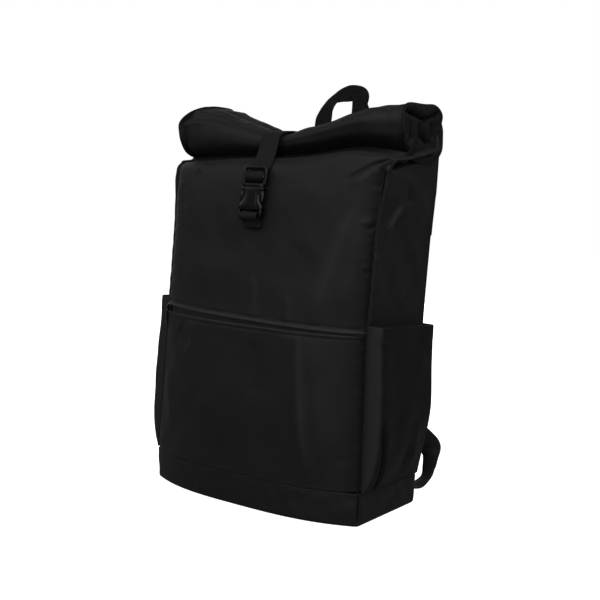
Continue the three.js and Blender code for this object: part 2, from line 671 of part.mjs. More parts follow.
// The buckle's socket: a hollow body with a window at each side for the plug's levers.
function buckleSocket() {
  const slot = rectangle(SLOT_WIDE, TAB_SLOT.low, TAB_SLOT.high);
  const outline = cutRectangle(BUCKLE_WIDE, BUCKLE_BOTTOM, SOCKET_TOP, SOCKET_CORNER);
  const body = plate(outline, [slot], SOCKET_THICK);
  const mouth = block(MOUTH.wide, MOUTH.deep, MOUTH.low, MOUTH.high);
  let solid = solidOf(body).subtract(solidOf(mouth));
  for (const side of [-1, 1]) {
    const window = block(WINDOW.wide, 2 * SOCKET_THICK, WINDOW.low, WINDOW.high);
    solid = solid.subtract(solidOf(window.translate(side * WINDOW.x, 0, 0)));
  }
  return geometryOf(solid);
}

// A point of the buckle's upright frame, in the bag's frame.
function fromBuckle(y, z) {
  const lean = THREE.MathUtils.degToRad(BUCKLE_AT.leanDegrees);
  return vec(
    BUCKLE_AT.x,
    BUCKLE_AT.y + y * Math.cos(lean) + z * Math.sin(lean),
    BUCKLE_AT.z - y * Math.sin(lean) + z * Math.cos(lean),
  );
}

function leanLikeBuckle(geometry) {
  return geometry
    .rotateX(-THREE.MathUtils.degToRad(BUCKLE_AT.leanDegrees))
    .translate(BUCKLE_AT.x, BUCKLE_AT.y, BUCKLE_AT.z);
}

// The closure strap: from the upper back over the roll, behind the plug's top bar, over its middle bar
// and back up behind itself.
function closureStrap() {
  const lift = STRAP_LIFT + WEB_THICK / 2;
  const nearby = 1e-2;
  const points = [];
  const lifted = (curve, share) => {
    const run = curve(share + nearby).sub(curve(share - nearby)).normalize();
    return curve(share).add(vec(0, run.z, -run.y).multiplyScalar(lift)).setX(BUCKLE_AT.x);
  };
  for (const rise of STRAP_ON_SLOPE) points.push(lifted((share) => slopeAt(0, share), rise));
  for (let degrees = STRAP_ON_ROLL.from; degrees <= STRAP_ON_ROLL.to; degrees += STRAP_ON_ROLL.step) {
    points.push(lifted((share) => rollAt(0, share, 1), degrees));
  }
  const bar = PLUG_THICK / 2 + GAP + WEB_THICK / 2;
  points.push(fromBuckle(bar + GAP, BUCKLE_TOP + PLUG_CORNER));
  for (const [slot, way] of [[UPPER_SLOT, 1], [LOWER_SLOT, -1]]) {
    points.push(fromBuckle(way * bar, slot.middle + STRAP_TURN));
    points.push(fromBuckle(0, slot.middle));
    points.push(fromBuckle(-way * bar, slot.middle - STRAP_TURN));
  }
  const stops = points.map((at) => ({ at, across: vec(1, 0, 0) }));
  return band(stops, WEBBING, WEB_THICK);
}

// The short webbing tab that holds the socket, doubled round its lower bar and sewn to the front.
function buckleTab() {
  const bar = SOCKET_THICK / 2 + GAP + WEB_THICK / 2;
  const panel = (z, layer) => {
    const point = frontAt(0, rowAt(LEVELS, "frontZ", z));
    return vec(BUCKLE_AT.x, point.y - GAP - WEB_THICK / 2 - layer * (WEB_THICK + GAP) - TAB.clear, z);
  };
  const points = [panel(TAB.low, 1), panel(TAB.low + TAB.rise, 1.5), fromBuckle(-bar, BUCKLE_BOTTOM - GAP)];
  points.push(fromBuckle(-bar, TAB_SLOT.middle - TAB.step), fromBuckle(0, TAB_SLOT.middle));
  points.push(fromBuckle(bar, TAB_SLOT.middle - TAB.step), fromBuckle(bar, BUCKLE_BOTTOM));
  points.push(panel(TAB.low + TAB.rise, 0), panel(TAB.low, 0));
  const stops = points.map((at) => ({ at, across: vec(1, 0, 0) }));
  return band(stops, WEBBING, WEB_THICK);
}

// The zip's slider with its short pull, at the left end of the zip.
function zipSlider() {
  const row = rowAt(LEVELS, "frontZ", ZIP_Z);
  const seat = frontAt(SLIDER_ACROSS, row);
  const beside = frontAt(SLIDER_ACROSS + 1e-2, row).sub(seat);
  const blocks = SLIDER_BLOCKS.map(({ wide, deep, low, high, front }) =>
    solidOf(block(wide, deep, low, high).translate(0, -front, 0)));
  const solid = wasm.Manifold.union(blocks);
  const turn = Math.atan2(beside.y, beside.x);
  return geometryOf(solid).rotateZ(turn).translate(seat.x, seat.y - SLIDER_FRONT, seat.z);
}

place("base_panel", CLOTH_BLACK, basePanel());
const zipLowRow = rowAt(LEVELS, "frontZ", ZIP_Z - ZIP_TALL / 2);
const zipTopRow = rowAt(LEVELS, "frontZ", ZIP_Z + ZIP_TALL / 2 - GAP);
place("pocket_panel", CLOTH_BLACK,
  frontPiece(BASE_SEAM_Z + GAP, zipLowRow, POCKET_FOLDS, FACETS.pocket, CLOTH));
place("zip_tape", ZIP_BLACK,
  frontPiece(ZIP_Z - ZIP_TALL / 2 + GAP, zipTopRow, [], FACETS.zip, ZIP_CLOTH, ZIP_RECESS));
place("front_panel", CLOTH_BLACK, frontPiece(ZIP_Z + ZIP_TALL / 2, LAST, FRONT_FOLDS, FACETS.front, CLOTH));
for (const [word, side] of [["left", -1], ["right", 1]]) {
  place(`${word}_gusset`, CLOTH_BLACK, gusset(side));
  place(`${word}_roll_tuck`, CLOTH_BLACK, rollTuck(side));
  place(`${word}_side_pocket`, CLOTH_BLACK, sidePocket(side));
}
place("back_panel", CLOTH_BLACK, backPanel());
place("roll_top", CLOTH_BLACK, rollTop());
place("closure_strap", WEB_BLACK, closureStrap());
place("buckle_plug", PLASTIC_BLACK, leanLikeBuckle(bucklePlug()));
place("buckle_socket", PLASTIC_BLACK, leanLikeBuckle(buckleSocket()));
place("buckle_tab", WEB_BLACK, buckleTab());
place("zip_slider", PLASTIC_BLACK, zipSlider());
place("grab_handle", WEB_BLACK, grabHandle());
for (const [word, side] of [["left", -1], ["right", 1]]) {
  place(`${word}_shoulder_strap`, CLOTH_BLACK, onSide(side, shoulderStrap()));
  place(`${word}_ladder_lock`, PLASTIC_BLACK, onSide(side, ladderLock()));
  place(`${word}_adjuster`, WEB_BLACK, onSide(side, adjuster()));
}

export default root;
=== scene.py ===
import math

import bmesh
import bpy
import numpy as np
from mathutils import Matrix, Vector


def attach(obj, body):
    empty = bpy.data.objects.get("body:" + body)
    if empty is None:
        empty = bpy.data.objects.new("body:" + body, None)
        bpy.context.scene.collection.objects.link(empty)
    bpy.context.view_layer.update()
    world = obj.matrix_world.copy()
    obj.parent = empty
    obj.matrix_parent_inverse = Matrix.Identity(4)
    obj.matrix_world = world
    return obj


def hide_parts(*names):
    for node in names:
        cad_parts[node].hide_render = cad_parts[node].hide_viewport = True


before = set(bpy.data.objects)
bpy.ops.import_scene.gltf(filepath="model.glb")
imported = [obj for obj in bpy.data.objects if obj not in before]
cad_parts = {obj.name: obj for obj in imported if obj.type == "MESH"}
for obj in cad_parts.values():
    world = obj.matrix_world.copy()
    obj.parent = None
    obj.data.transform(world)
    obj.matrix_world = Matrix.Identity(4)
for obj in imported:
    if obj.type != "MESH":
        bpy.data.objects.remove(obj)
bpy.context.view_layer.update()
mm = 0.001
scene = bpy.context.scene
scene.view_settings.view_transform = "Standard"
scene.view_settings.look = "None"
bothSides = (("left", -1), ("right", 1))
print("frame loaded:", len(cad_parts), "nodes")

# camera: a straight look from the front right, a little above, turned about its own axis
shot = {"azimuth": 34.4, "elevation": 6.1, "roll": 2.8, "distance": 1213, "focal": 1036, "imageWide": 600,
        "target": (5, 11, 226), "sensor": 36, "clip": (0.02, 40)}


def makeCamera(values):
    # back = direction to the camera from azimuth and elevation; right and up are turned by the roll
    a, e, r = (math.radians(values[k]) for k in ("azimuth", "elevation", "roll"))
    back = Vector((math.sin(a) * math.cos(e), -math.cos(a) * math.cos(e), math.sin(e)))
    flat = Vector((math.cos(a), math.sin(a), 0))
    upright = back.cross(flat)
    right = flat * math.cos(r) + upright * math.sin(r)
    up = upright * math.cos(r) - flat * math.sin(r)
    place = (Vector(values["target"]) + back * values["distance"]) * mm
    data = bpy.data.cameras.new("bagCamera")
    data.sensor_width = values["sensor"]
    data.lens = values["sensor"] * values["focal"] / values["imageWide"]
    data.clip_start, data.clip_end = values["clip"]
    camera = bpy.data.objects.new("bagCamera", data)
    scene.collection.objects.link(camera)
    camera.matrix_world = Matrix([(right[i], up[i], back[i], place[i]) for i in range(3)] + [(0, 0, 0, 1)])
    scene.camera = camera


makeCamera(shot)


# smooth tables and arrays

def mix(a, b, t):
    return a + (b - a) * t


def ease(t):
    # 3t2 - 2t3 between 0 and 1
    t = np.clip(t, 0, 1)
    return t * t * (3 - 2 * t)


def hill(offset, wide, power=2):
    # 1 in the middle and falling off on both sides: exp(-|offset / wide|^power)
    return np.exp(-np.abs(offset / wide) ** power)


def squared(value, power):
    # a sine or cosine pressed towards a square: |value|^power with its sign
    return np.sign(value) * np.abs(value) ** power


def unit(v):
    return v / np.maximum(np.linalg.norm(v, axis=-1, keepdims=True), 1e-12)


def added(steps):
    return np.concatenate([[0], np.cumsum(steps)])


def lengthAlong(points):
    # distance along a row of points to each of them
    return added(np.linalg.norm(np.diff(points, axis=0), axis=1))


def loopRun(loop):
    # direction along a closed row of points
    return unit(np.roll(loop, -1, 0) - np.roll(loop, 1, 0))


def loopOutward(loop):
    # square to a level closed row of points, out of it
    run = loopRun(loop)
    return np.stack([run[:, 1], -run[:, 0]], -1)


def pickAt(at, run, table):
    # every column of a table, read at distances along it
    return np.stack([np.interp(at, run, column) for column in np.transpose(table)], -1)


def through(values, at):
    # cubic between neighbouring values, each with the slope of half the step across it
    v, at = np.asarray(values, float), np.asarray(at, float)
    i = np.clip(np.floor(at), 0, len(v) - 2).astype(int)
    t = at - i
    before, here, there, after = (v[np.clip(i + n, 0, len(v) - 1)] for n in (-1, 0, 1, 2))
    slopeIn, slopeOut, rise = (there - before) / 2, (after - here) / 2, there - here
    a, b = slopeIn + slopeOut - 2 * rise, 3 * rise - 2 * slopeIn - slopeOut
    return ((a * t + b) * t + slopeIn) * t + here


def throughAll(table, at):
    # every column of a table, read at fractional rows
    return np.stack([through(column, at) for column in np.transpose(table)], -1)


def rowOf(values, wanted, fine=4001):
    # the fractional row where a rising column reaches a value, read off a fine table
    rows = np.linspace(0, len(values) - 1, fine)
    return np.interp(wanted, through(values, rows), rows)


def line(points, count, fine=60):
    # evenly spaced points of the smooth curve through a table of points
    dense = throughAll(points, np.linspace(0, len(points) - 1, fine * len(points)))
    run = lengthAlong(dense[:, :3])
    return pickAt(np.linspace(0, run[-1], count), run, dense)


def denseEnds(count, share):
    # 0 to 1 with closer steps at both ends: a mix of even steps and 3t2 - 2t3
    t = np.linspace(0, 1, count)
    return mix(t, ease(t), share)


def rowsByLength(point, low, high, shares, fine=1500):
    # fractional rows whose points lie at the asked shares of the length between two rows
    rows = np.linspace(low, high, fine)
    run = lengthAlong(point(rows))
    return np.interp(shares * run[-1], run, rows), shares * run[-1], run[-1]


def foldPush(folds, a, b, fade=0.0):
    # each fold is a line from one point to another that bows sideways: deep * exp(-(distance / wide)^1.5),
    # fading over the asked share of its length at both ends
    push = np.zeros(np.broadcast(a, b).shape)
    for fromA, fromB, toA, toB, bend, wide, deep in folds:
        runA, runB = toA - fromA, toB - fromB
        length = math.hypot(runA, runB)
        t = ((a - fromA) * runA + (b - fromB) * runB) / length ** 2
        inside = np.clip(t, 0, 1)
        off = ((b - fromB) * runA - (a - fromA) * runB) / length - 4 * bend * inside * (1 - inside)
        away = np.hypot(off, (t - inside) * length)
        ends = ease((inside + 0.02) / fade) * ease((1.02 - inside) / fade) if fade else 1
        push += ends * deep * hill(away, wide, 1.5)
    return push


def drift(a, b, seed, wave, count=8):
    # soft unevenness: sine waves of about one length in seeded directions, added up
    rng = np.random.default_rng(seed)
    turn = rng.uniform(0, math.pi, count)
    lengths = wave * rng.uniform(0.6, 1.7, count)
    start = rng.uniform(0, 2 * math.pi, count)
    waves = [np.sin(2 * math.pi * (a * math.cos(q) + b * math.sin(q)) / w + s)
             for q, w, s in zip(turn, lengths, start)]
    return sum(waves) / math.sqrt(count)


# meshes from grids
rimRound = 0.38


def gridQuads(rows, columns, wrapped=False, start=0):
    # one quad per cell of a grid of points, row by row
    j, i = np.meshgrid(np.arange(rows - 1), np.arange(columns if wrapped else columns - 1), indexing="ij")
    k = (i + 1) % columns
    return start + np.stack([j * columns + i, j * columns + k, (j + 1) * columns + k, (j + 1) * columns + i],
                            -1).reshape(-1, 4)


def makePiece(name, points, quads, uv, material, merge=False, highlightShare=None):
    # points in millimetres go into a mesh in metres, with a lay map in metres of cloth and each point's share
    # of painted highlight
    mesh = bpy.data.meshes.new(name)
    mesh.vertices.add(len(points))
    mesh.vertices.foreach_set("co", (points * mm).astype(np.float32).ravel())
    mesh.loops.add(quads.size)
    mesh.loops.foreach_set("vertex_index", quads.astype(np.int32).ravel())
    mesh.polygons.add(len(quads))
    mesh.polygons.foreach_set("loop_start", np.arange(0, quads.size, 4, dtype=np.int32))
    mesh.polygons.foreach_set("use_smooth", np.ones(len(quads), dtype=bool))
    lay = mesh.uv_layers.new(name="lay")
    lay.uv.foreach_set("vector", (uv[quads.ravel()] * mm).astype(np.float32).ravel())
    mesh.update(calc_edges=True)
    # painted highlight: each point's share of a paler colour laid over the cloth's own
    if highlightShare is not None:
        mesh.attributes.new("highlightShare", "FLOAT", "POINT").data.foreach_set("value", highlightShare.astype(np.float32))
    if merge:
        bm = bmesh.new()
        bm.from_mesh(mesh)
        bmesh.ops.remove_doubles(bm, verts=bm.verts, dist=1e-6)
        bmesh.ops.dissolve_degenerate(bm, edges=bm.edges, dist=1e-7)
        bmesh.ops.recalc_face_normals(bm, faces=bm.faces)
        bm.to_mesh(mesh)
        bm.free()
    mesh.validate()
    mesh.materials.append(material)
    piece = bpy.data.objects.new(name, mesh)
    scene.collection.objects.link(piece)
    return piece


def cellLay(face):
    # distance along the columns and rows of a grid, as a flat lay of the cloth
    across = np.linalg.norm(np.diff(face, axis=1), axis=-1).mean(0)
    up = np.linalg.norm(np.diff(face, axis=0), axis=-1).mean(1)
    return np.stack(np.meshgrid(added(across), added(up)), -1)


def faceNormals(face):
    # square to the columns and the rows of a grid
    return unit(np.cross(np.gradient(face, axis=1), np.gradient(face, axis=0)))


def clothShell(name, face, thick, material, flip=False, highlightShare=None):
    # outer grid, the same grid a thickness behind it along its normals, and a rounded rim between their
    # borders
    highlightShare = np.zeros(face.shape[:2]) if highlightShare is None else highlightShare
    if flip:
        face, highlightShare = face[:, ::-1], highlightShare[:, ::-1]
    rows, columns = face.shape[:2]
    count = rows * columns
    normal = faceNormals(face)
    index = np.arange(count).reshape(rows, columns)
    rim = np.concatenate([index[0, :-1], index[:-1, -1], index[-1, :0:-1], index[:0:-1, 0]])
    flat, back = face.reshape(-1, 3), (face - normal * thick).reshape(-1, 3)
    outward = np.cross(loopRun(flat[rim]), normal.reshape(-1, 3)[rim])
    middle = (flat[rim] + back[rim]) / 2 + outward * thick * rimRound
    # the outer face's share of painted highlight goes onto the rim as well; the back face gets none
    lay, highlightFactor = cellLay(face).reshape(-1, 2), highlightShare.ravel()
    edge = 2 * count + np.arange(len(rim))
    rimNext, edgeNext = np.roll(rim, -1), np.roll(edge, -1)
    quads = np.concatenate([gridQuads(rows, columns), gridQuads(rows, columns, start=count)[:, ::-1],
                            np.stack([rim, edge, edgeNext, rimNext], -1),
                            np.stack([edge, count + rim, count + rimNext, edgeNext], -1)])
    return makePiece(name, np.concatenate([flat, back, middle]), quads, np.concatenate([lay, lay, lay[rim]]),
                     material,
                     highlightShare=np.concatenate([highlightFactor, 0 * highlightFactor, highlightFactor[rim]]))


def ringPiece(name, rings, material, level=False):
    # rings of points, each closed on itself and joined to the next; the lay runs along them or is their y and
    # z
    seam = np.concatenate([rings, rings[:, :1]], 1)
    lay = seam[..., 1:] if level else cellLay(seam)
    return makePiece(name, seam.reshape(-1, 3), gridQuads(*seam.shape[:2]), lay.reshape(-1, 2), material,
                     merge=True)


def discShell(name, hoops, thick, material, flip=False):
    # a round panel: hoops from its rim to the one point in its middle, the same a thickness behind, and a
    # rounded rim
    hoops = hoops[:, ::-1] if flip else hoops
    along = np.roll(hoops, -1, 1) - np.roll(hoops, 1, 1)
    normal = unit(np.cross(along, np.gradient(hoops, axis=0)))
    normal[-1] = unit(normal[-2].mean(0))
    back = hoops - normal * thick
    edge = (hoops[0] + back[0]) / 2 + np.cross(loopRun(hoops[0]), normal[0]) * thick * rimRound
    return ringPiece(name, np.concatenate([hoops[::-1], edge[None], back]), material, level=True)


def loft(name, rings, material, closed=False):
    # rings carried along a path; open ends shrink to their middles in two steps, so they are rounded off
    if closed:
        return ringPiece(name, np.concatenate([rings, rings[:1]]), material)
    first, last = (np.broadcast_to(ring.mean(0), ring.shape) for ring in (rings[0], rings[-1]))
    start, end = [first, mix(rings[0], first, 0.5)], [mix(rings[-1], last, 0.5), last]
    return ringPiece(name, np.concatenate([start, rings, end]), material)


def oval(wide, deep, power, sides):
    # an oval pressed towards a rectangle, at even angles
    angle = np.linspace(0, 2 * math.pi, sides, endpoint=False)
    return np.stack([squared(np.cos(angle), power) * wide / 2, squared(np.sin(angle), power) * deep / 2], -1)


def bandRing(wide, thick, steps=10):
    # a flat band's section: two straight faces joined by half rounds
    r = thick / 2
    flatX = np.linspace(-(wide / 2 - r), wide / 2 - r, steps)
    bend = np.radians(np.array([-60, -30, 0, 30, 60]))
    right = np.stack([wide / 2 - r + r * np.cos(bend), r * np.sin(bend)], -1)
    lower = np.stack([flatX, np.full(steps, -r)], -1)
    return np.concatenate([lower, right, -lower, -right])


def carried(path, across, section):
    # a section's x runs along the across direction made square to the path, and its y along the face normal
    run = unit(np.gradient(path, axis=0))
    face = unit(np.cross(run, across))
    side = np.cross(face, run)
    return path[:, None] + side[:, None] * section[..., :1] + face[:, None] * section[..., 1:]


def joined(name, parts):
    # several closed shells of one moulding become one piece
    bpy.ops.object.select_all(action="DESELECT")
    for part in parts:
        part.select_set(True)
    bpy.context.view_layer.objects.active = parts[0]
    bpy.ops.object.join()
    parts[0].name = name
    return parts[0]


def settle(piece, slotName, *nodes):
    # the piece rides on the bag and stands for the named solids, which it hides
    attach(piece, "root")
    if nodes:
        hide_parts(*nodes)
    return piece


# finishes: a colour is its red and green, then its blue
shaderSockets = {"shine": "Specular IOR Level", "sheen": "Sheen Weight", "sheenRough": "Sheen Roughness",
                 "coat": "Coat Weight", "coatRough": "Coat Roughness"}


def newGroup(name, inputs, outputs):
    # a shader node group with named sockets: (kind, name, default) going in, values coming out
    group = bpy.data.node_groups.new(name, "ShaderNodeTree")
    for kind, label, value in inputs:
        socket = group.interface.new_socket(label, in_out="INPUT", socket_type="NodeSocket" + kind)
        if value is not None:
            socket.default_value = value
    for label in outputs:
        group.interface.new_socket(label, in_out="OUTPUT", socket_type="NodeSocketFloat")
    return group, group.nodes.new("NodeGroupInput").outputs, group.nodes.new("NodeGroupOutput").inputs


def put(tree, kind, wires=(), **fields):
    # one node: fields set its properties, wires its inputs as (socket, value or output)
    node = tree.nodes.new("ShaderNode" + kind)
    for key, value in fields.items():
        setattr(node, key, value)
    for socket, value in wires:
        if isinstance(value, bpy.types.NodeSocket):
            tree.links.new(value, node.inputs[socket])
        else:
            node.inputs[socket].default_value = value
    return node


def sums(tree, operation, *values):
    return put(tree, "Math", list(enumerate(values)), operation=operation).outputs[0]


def ramp(tree, value, low, high, toLow=0.0, toHigh=1.0):
    return put(tree, "MapRange", [("Value", value), ("From Min", low), ("From Max", high), ("To Min", toLow),
                                  ("To Max", toHigh)]).outputs["Result"]


def noise(tree, place, scale, detail):
    return put(tree, "TexNoise", [("Vector", place), ("Scale", scale), ("Detail", detail)]).outputs[0]


def mixColour(tree, factor, low, high):
    node = put(tree, "Mix", [(0, factor)], data_type="RGBA")
    for socket, colour in zip([s for s in node.inputs if s.type == "RGBA"], (low, high)):
        if isinstance(colour, bpy.types.NodeSocket):
            tree.links.new(colour, socket)
        else:
            socket.default_value = (colour[0], colour[0], colour[1], 1)
    return [s for s in node.outputs if s.type == "RGBA"][0]


def weaveGroup():
    # plain weave: bumps where sin(u) * sin(v) is high, and streaks of thicker yarn from noise drawn out along
    # each way
    group, into, out = newGroup("plainWeave", [("Vector", "Lay", None), ("Float", "Threads", 1200.0)],
                                ("Height", "Yarn"))
    scaled = put(group, "VectorMath", [(0, into["Lay"]), ("Scale", into["Threads"])],
                 operation="SCALE").outputs[0]
    parts = put(group, "SeparateXYZ", [(0, scaled)]).outputs
    waves = [sums(group, "SINE", sums(group, "MULTIPLY", parts[k], 2 * math.pi)) for k in "XY"]
    bumps = sums(group, "MULTIPLY_ADD", sums(group, "MULTIPLY", *waves), 0.5, 0.5)
    drawnOut = [put(group, "VectorMath", [(0, scaled), (1, stretch)], operation="MULTIPLY").outputs[0]
                for stretch in ((0.6, 0.012, 1), (0.012, 0.6, 1))]
    streaks = [noise(group, place, 1.0, 2.0) for place in drawnOut]
    yarn = sums(group, "MULTIPLY", sums(group, "ADD", *streaks), 0.5)
    group.links.new(sums(group, "MULTIPLY_ADD", yarn, 0.6, sums(group, "MULTIPLY", bumps, 0.7)),
                    out["Height"])
    group.links.new(yarn, out["Yarn"])
    return group


def wearGroup():
    # slow unevenness, fine lint, and dust that gathers where a surface looks up, all from noise on the piece
    group, into, out = newGroup("useAndDust", [("Vector", "Place", None), ("Float", "Size", 30.0)],
                                ("Tone", "Lint", "Dust"))
    slow, fine = noise(group, into["Place"], into["Size"], 4.0), noise(group, into["Place"], 900.0, 2.0)
    look = put(group, "SeparateXYZ", [(0, put(group, "NewGeometry").outputs["Normal"])]).outputs["Z"]
    dust = sums(group, "MULTIPLY", ramp(group, look, 0.2, 1.0), ramp(group, slow, 0.35, 0.7))
    for label, value in (("Tone", slow), ("Lint", ramp(group, fine, 0.68, 0.76)), ("Dust", dust)):
        group.links.new(value, out[label])
    return group


plainWeave, useAndDust = weaveGroup(), wearGroup()


def newFinish(name, values):
    # a new material with its coordinates and its share of use and dust
    material = bpy.data.materials.new(name)
    material.use_nodes = True
    tree = material.node_tree
    places = put(tree, "TexCoord").outputs
    use = put(tree, "Group", [("Place", places["Object"]), ("Size", values["toneSize"])],
              node_tree=useAndDust)
    return material, tree, places, use.outputs


def finished(material, values, colour, rough, height):
    # colour, roughness and relief change over the surface; the other values are constants on the shader
    tree = material.node_tree
    shader = tree.nodes["Principled BSDF"]
    relief = put(tree, "Bump", [("Strength", values["relief"]), ("Distance", values["reliefDeep"]),
                                ("Height", height)])
    for socket, output in (("Base Color", colour), ("Roughness", rough), ("Normal", relief.outputs[0])):
        tree.links.new(output, shader.inputs[socket])
    for key, socket in shaderSockets.items():
        if key in values:
            shader.inputs[socket].default_value = values[key]
    return material


def clothFinish(name, values):
    # woven cloth: the weave tints, roughens and raises it; uneven tone and dust lie over that,
    # and a painted highlight where the attribute asks for it
    material, tree, places, use = newFinish(name, values)
    lay = places["UV"]
    if "layOn" in values:
        lay = put(tree, "Mapping", [("Vector", places["Object"]), ("Rotation", values["layOn"])]).outputs[0]
    weave = put(tree, "Group", [("Lay", lay), ("Threads", values["threads"])], node_tree=plainWeave).outputs
    light = sums(tree, "MULTIPLY_ADD", weave["Yarn"], 0.55, sums(tree, "MULTIPLY", use["Tone"], 0.45))
    light = sums(tree, "MULTIPLY_ADD", use["Dust"], values["dust"], light)
    light = sums(tree, "MULTIPLY_ADD", use["Lint"], values["lint"], light)
    plain = mixColour(tree, ramp(tree, light, 0.3, 0.75), values["dark"], values["pale"])
    # painted highlight: the attribute mixes the colour towards a paler one on ridges, welt edges and pocket
    # facets
    highlightFactor = put(tree, "Attribute", attribute_name="highlightShare").outputs["Fac"]
    uneven = sums(tree, "MULTIPLY_ADD", use["Tone"], 0.6, weave["Yarn"])
    return finished(material, values, mixColour(tree, highlightFactor, plain, values["paintedHighlight"]),
                    ramp(tree, uneven, 0.45, 1.1, *values["rough"]), weave["Height"])


def ribFinish(name, values):
    # woven webbing: rows of short ribs across it, each row set half a rib from the next, between plain edges;
    # the rib crowns are painted paler and the hollows darker, a painted highlight and painted shade
    material, tree, places, use = newFinish(name, values)
    parts = put(tree, "SeparateXYZ", [(0, places["UV"])]).outputs
    row = sums(tree, "DIVIDE", parts["X"], values["rowWide"])
    rib = sums(tree, "MULTIPLY_ADD", sums(tree, "FLOOR", row), values["shift"],
               sums(tree, "DIVIDE", parts["Y"], values["ribLong"]))
    ribWave, rowWave = (sums(tree, "ABSOLUTE", sums(tree, "SINE", sums(tree, "MULTIPLY", wave, math.pi)))
                        for wave in (rib, row))
    height = sums(tree, "MULTIPLY", sums(tree, "POWER", ribWave, 0.6), sums(tree, "POWER", rowWave, 0.5))
    # painted highlight on the rib crowns and painted shade in the hollows between them
    light = sums(tree, "MULTIPLY_ADD", height, 0.6, sums(tree, "MULTIPLY", use["Tone"], 0.5))
    light = sums(tree, "MULTIPLY_ADD", use["Lint"], values["lint"], light)
    return finished(material, values, mixColour(tree, ramp(tree, light, 0.25, 1.0), values["dark"],
                                                values["pale"]),
                    ramp(tree, height, 0.0, 1.0, *values["rough"][::-1]), height)


def mouldedFinish(name, values):
    # moulded plastic: fine spark-eroded grain, faint flow marks and dust in the upper faces
    material, tree, places, use = newFinish(name, values)
    light = sums(tree, "MULTIPLY_ADD", use["Dust"], values["dust"], use["Tone"])
    return finished(material, values, mixColour(tree, ramp(tree, light, 0.3, 0.9), values["dark"],
                                                values["pale"]),
                    ramp(tree, use["Tone"], 0.3, 0.7, *values["rough"]),
                    noise(tree, places["Object"], values["grain"], 3.0))


# the paler colour in this table is the colour of the painted highlights
woven = {"threads": 1250, "toneSize": 14, "paintedHighlight": (0.019, 0.0195), "dust": 0.10, "lint": 0.10,
         "relief": 0.35,
         "reliefDeep": 0.00025, "sheenRough": 0.45}
ribbed = {"rowWide": 0.00185, "ribLong": 0.0021, "shift": 0.5, "toneSize": 24, "lint": 0.06,
          "rough": (0.6, 0.78),
          "relief": 0.6, "reliefDeep": 0.0004, "sheenRough": 0.5}
cloth = clothFinish("blackPolyester", woven | {
    "dark": (0.0036, 0.0038), "pale": (0.0074, 0.0077), "rough": (0.50, 0.66), "shine": 0.13, "sheen": 0.02})
# painted shade: a darker copy of the cloth for the side pockets and the roll's ends, which lie in shade
shadedCloth = clothFinish("blackClothPaintedShade", woven | {
    "dark": (0.0024, 0.0026), "pale": (0.005, 0.0052), "rough": (0.52, 0.68), "shine": 0.09, "sheen": 0.014})
padCloth = clothFinish("blackPadCloth", woven | {
    "threads": 620, "toneSize": 16, "dark": (0.009, 0.0093), "pale": (0.019, 0.0195), "dust": 0.12,
    "lint": 0.12,
    "rough": (0.62, 0.78), "relief": 0.5, "reliefDeep": 0.0004, "shine": 0.12, "sheen": 0.03,
    "layOn": (math.pi / 2, 0, 0)})
zipCloth = ribFinish("blackZipTape", ribbed | {
    "rowWide": 0.0009, "ribLong": 0.0016, "toneSize": 30, "dark": (0.0036, 0.0037), "pale": (0.0085, 0.0088),
    "lint": 0.05, "rough": (0.5, 0.7), "relief": 0.4, "reliefDeep": 0.0002, "shine": 0.14, "sheen": 0.02})
webbing = ribFinish("blackWebbing", ribbed | {
    "dark": (0.0028, 0.0029), "pale": (0.0066, 0.0068), "shine": 0.10, "sheen": 0.012})
# painted shade: a darker copy of the webbing for the handle
shadedHandleWeb = ribFinish("blackHandleWebbingPaintedShade", ribbed | {
    "dark": (0.0014, 0.0015), "pale": (0.0036, 0.0037), "shine": 0.07, "sheen": 0.006})
# painted light: a paler copy of the webbing for the adjusters, which hang in the bag's shade
litAdjusterWeb = ribFinish("blackAdjusterWebbingPaintedLight", ribbed | {
    "dark": (0.0115, 0.0118), "pale": (0.025, 0.0255), "rough": (0.7, 0.85), "shine": 0.01, "sheen": 0.002})
threadYarn = ribFinish("blackThread", ribbed | {
    "rowWide": 0.0006, "ribLong": 0.0007, "shift": 0.35, "toneSize": 60, "dark": (0.004, 0.0041),
    "pale": (0.009, 0.0093), "lint": 0.0, "rough": (0.4, 0.55), "relief": 0.5, "reliefDeep": 0.0001,
    "shine": 0.25,
    "sheen": 0.02})
plastic = mouldedFinish("blackAcetal", {
    "toneSize": 40, "grain": 2600, "dark": (0.0011, 0.0012), "pale": (0.0022, 0.0024), "dust": 0.08,
    "rough": (0.36, 0.46), "relief": 0.25, "reliefDeep": 0.0001, "shine": 0.07, "coat": 0.3,
    "coatRough": 0.14})
print("finishes made")


# the sack's levels, bottom to top: seams of the front and the back, half width and bow of the front
sack = {
    "frontZ": (0, 31, 115, 209, 290, 358, 377.5, 380.5),
    "frontY": (-60, -60, -58, -56, -50, -44, -37, -14),
    "backZ": (0, 31, 115, 209, 290, 364, 396, 424),
    "backY": (64, 65, 68, 71, 73, 72, 63, 38),
    "half": (143, 143, 140, 137, 138, 141, 143, 144),
    "bow": (28, 29, 33, 29, 27, 25, 18, 6),
}
shoulderRow, lastRow, shoulderOver = 5, 7, 1.2
# how far each side seam leans to the left, from which height and over which height; upright again near the
# top
lean = {"left": (3.6, 5, 40), "right": (3.0, 225, 110), "upright": (392, 25)}
clothThick, seamGap = 1.8, 0.4
baseSeam, zipMiddle, zipTall, pocketMouth = 36.5, 209, 9, 212


def frontAt(across, row):
    # across is -1 to 1 between the side seams: x = half * across less a lean, y bows forward by bow * (1 -
    # |across|^3)
    across, row = np.broadcast_arrays(np.asarray(across, float), np.asarray(row, float))
    y, z, half, bow = (through(sack[key], row) for key in ("frontY", "frontZ", "half", "bow"))
    atLeft, atRight = (most * ease((z - start) / over) for most, start, over in (lean["left"], lean["right"]))
    top, over = lean["upright"]
    x = half * across - mix(atLeft, atRight, (across + 1) / 2) * ease((top - z) / over)
    return np.stack([x, y - bow * (1 - np.abs(across) ** 3), z], -1)


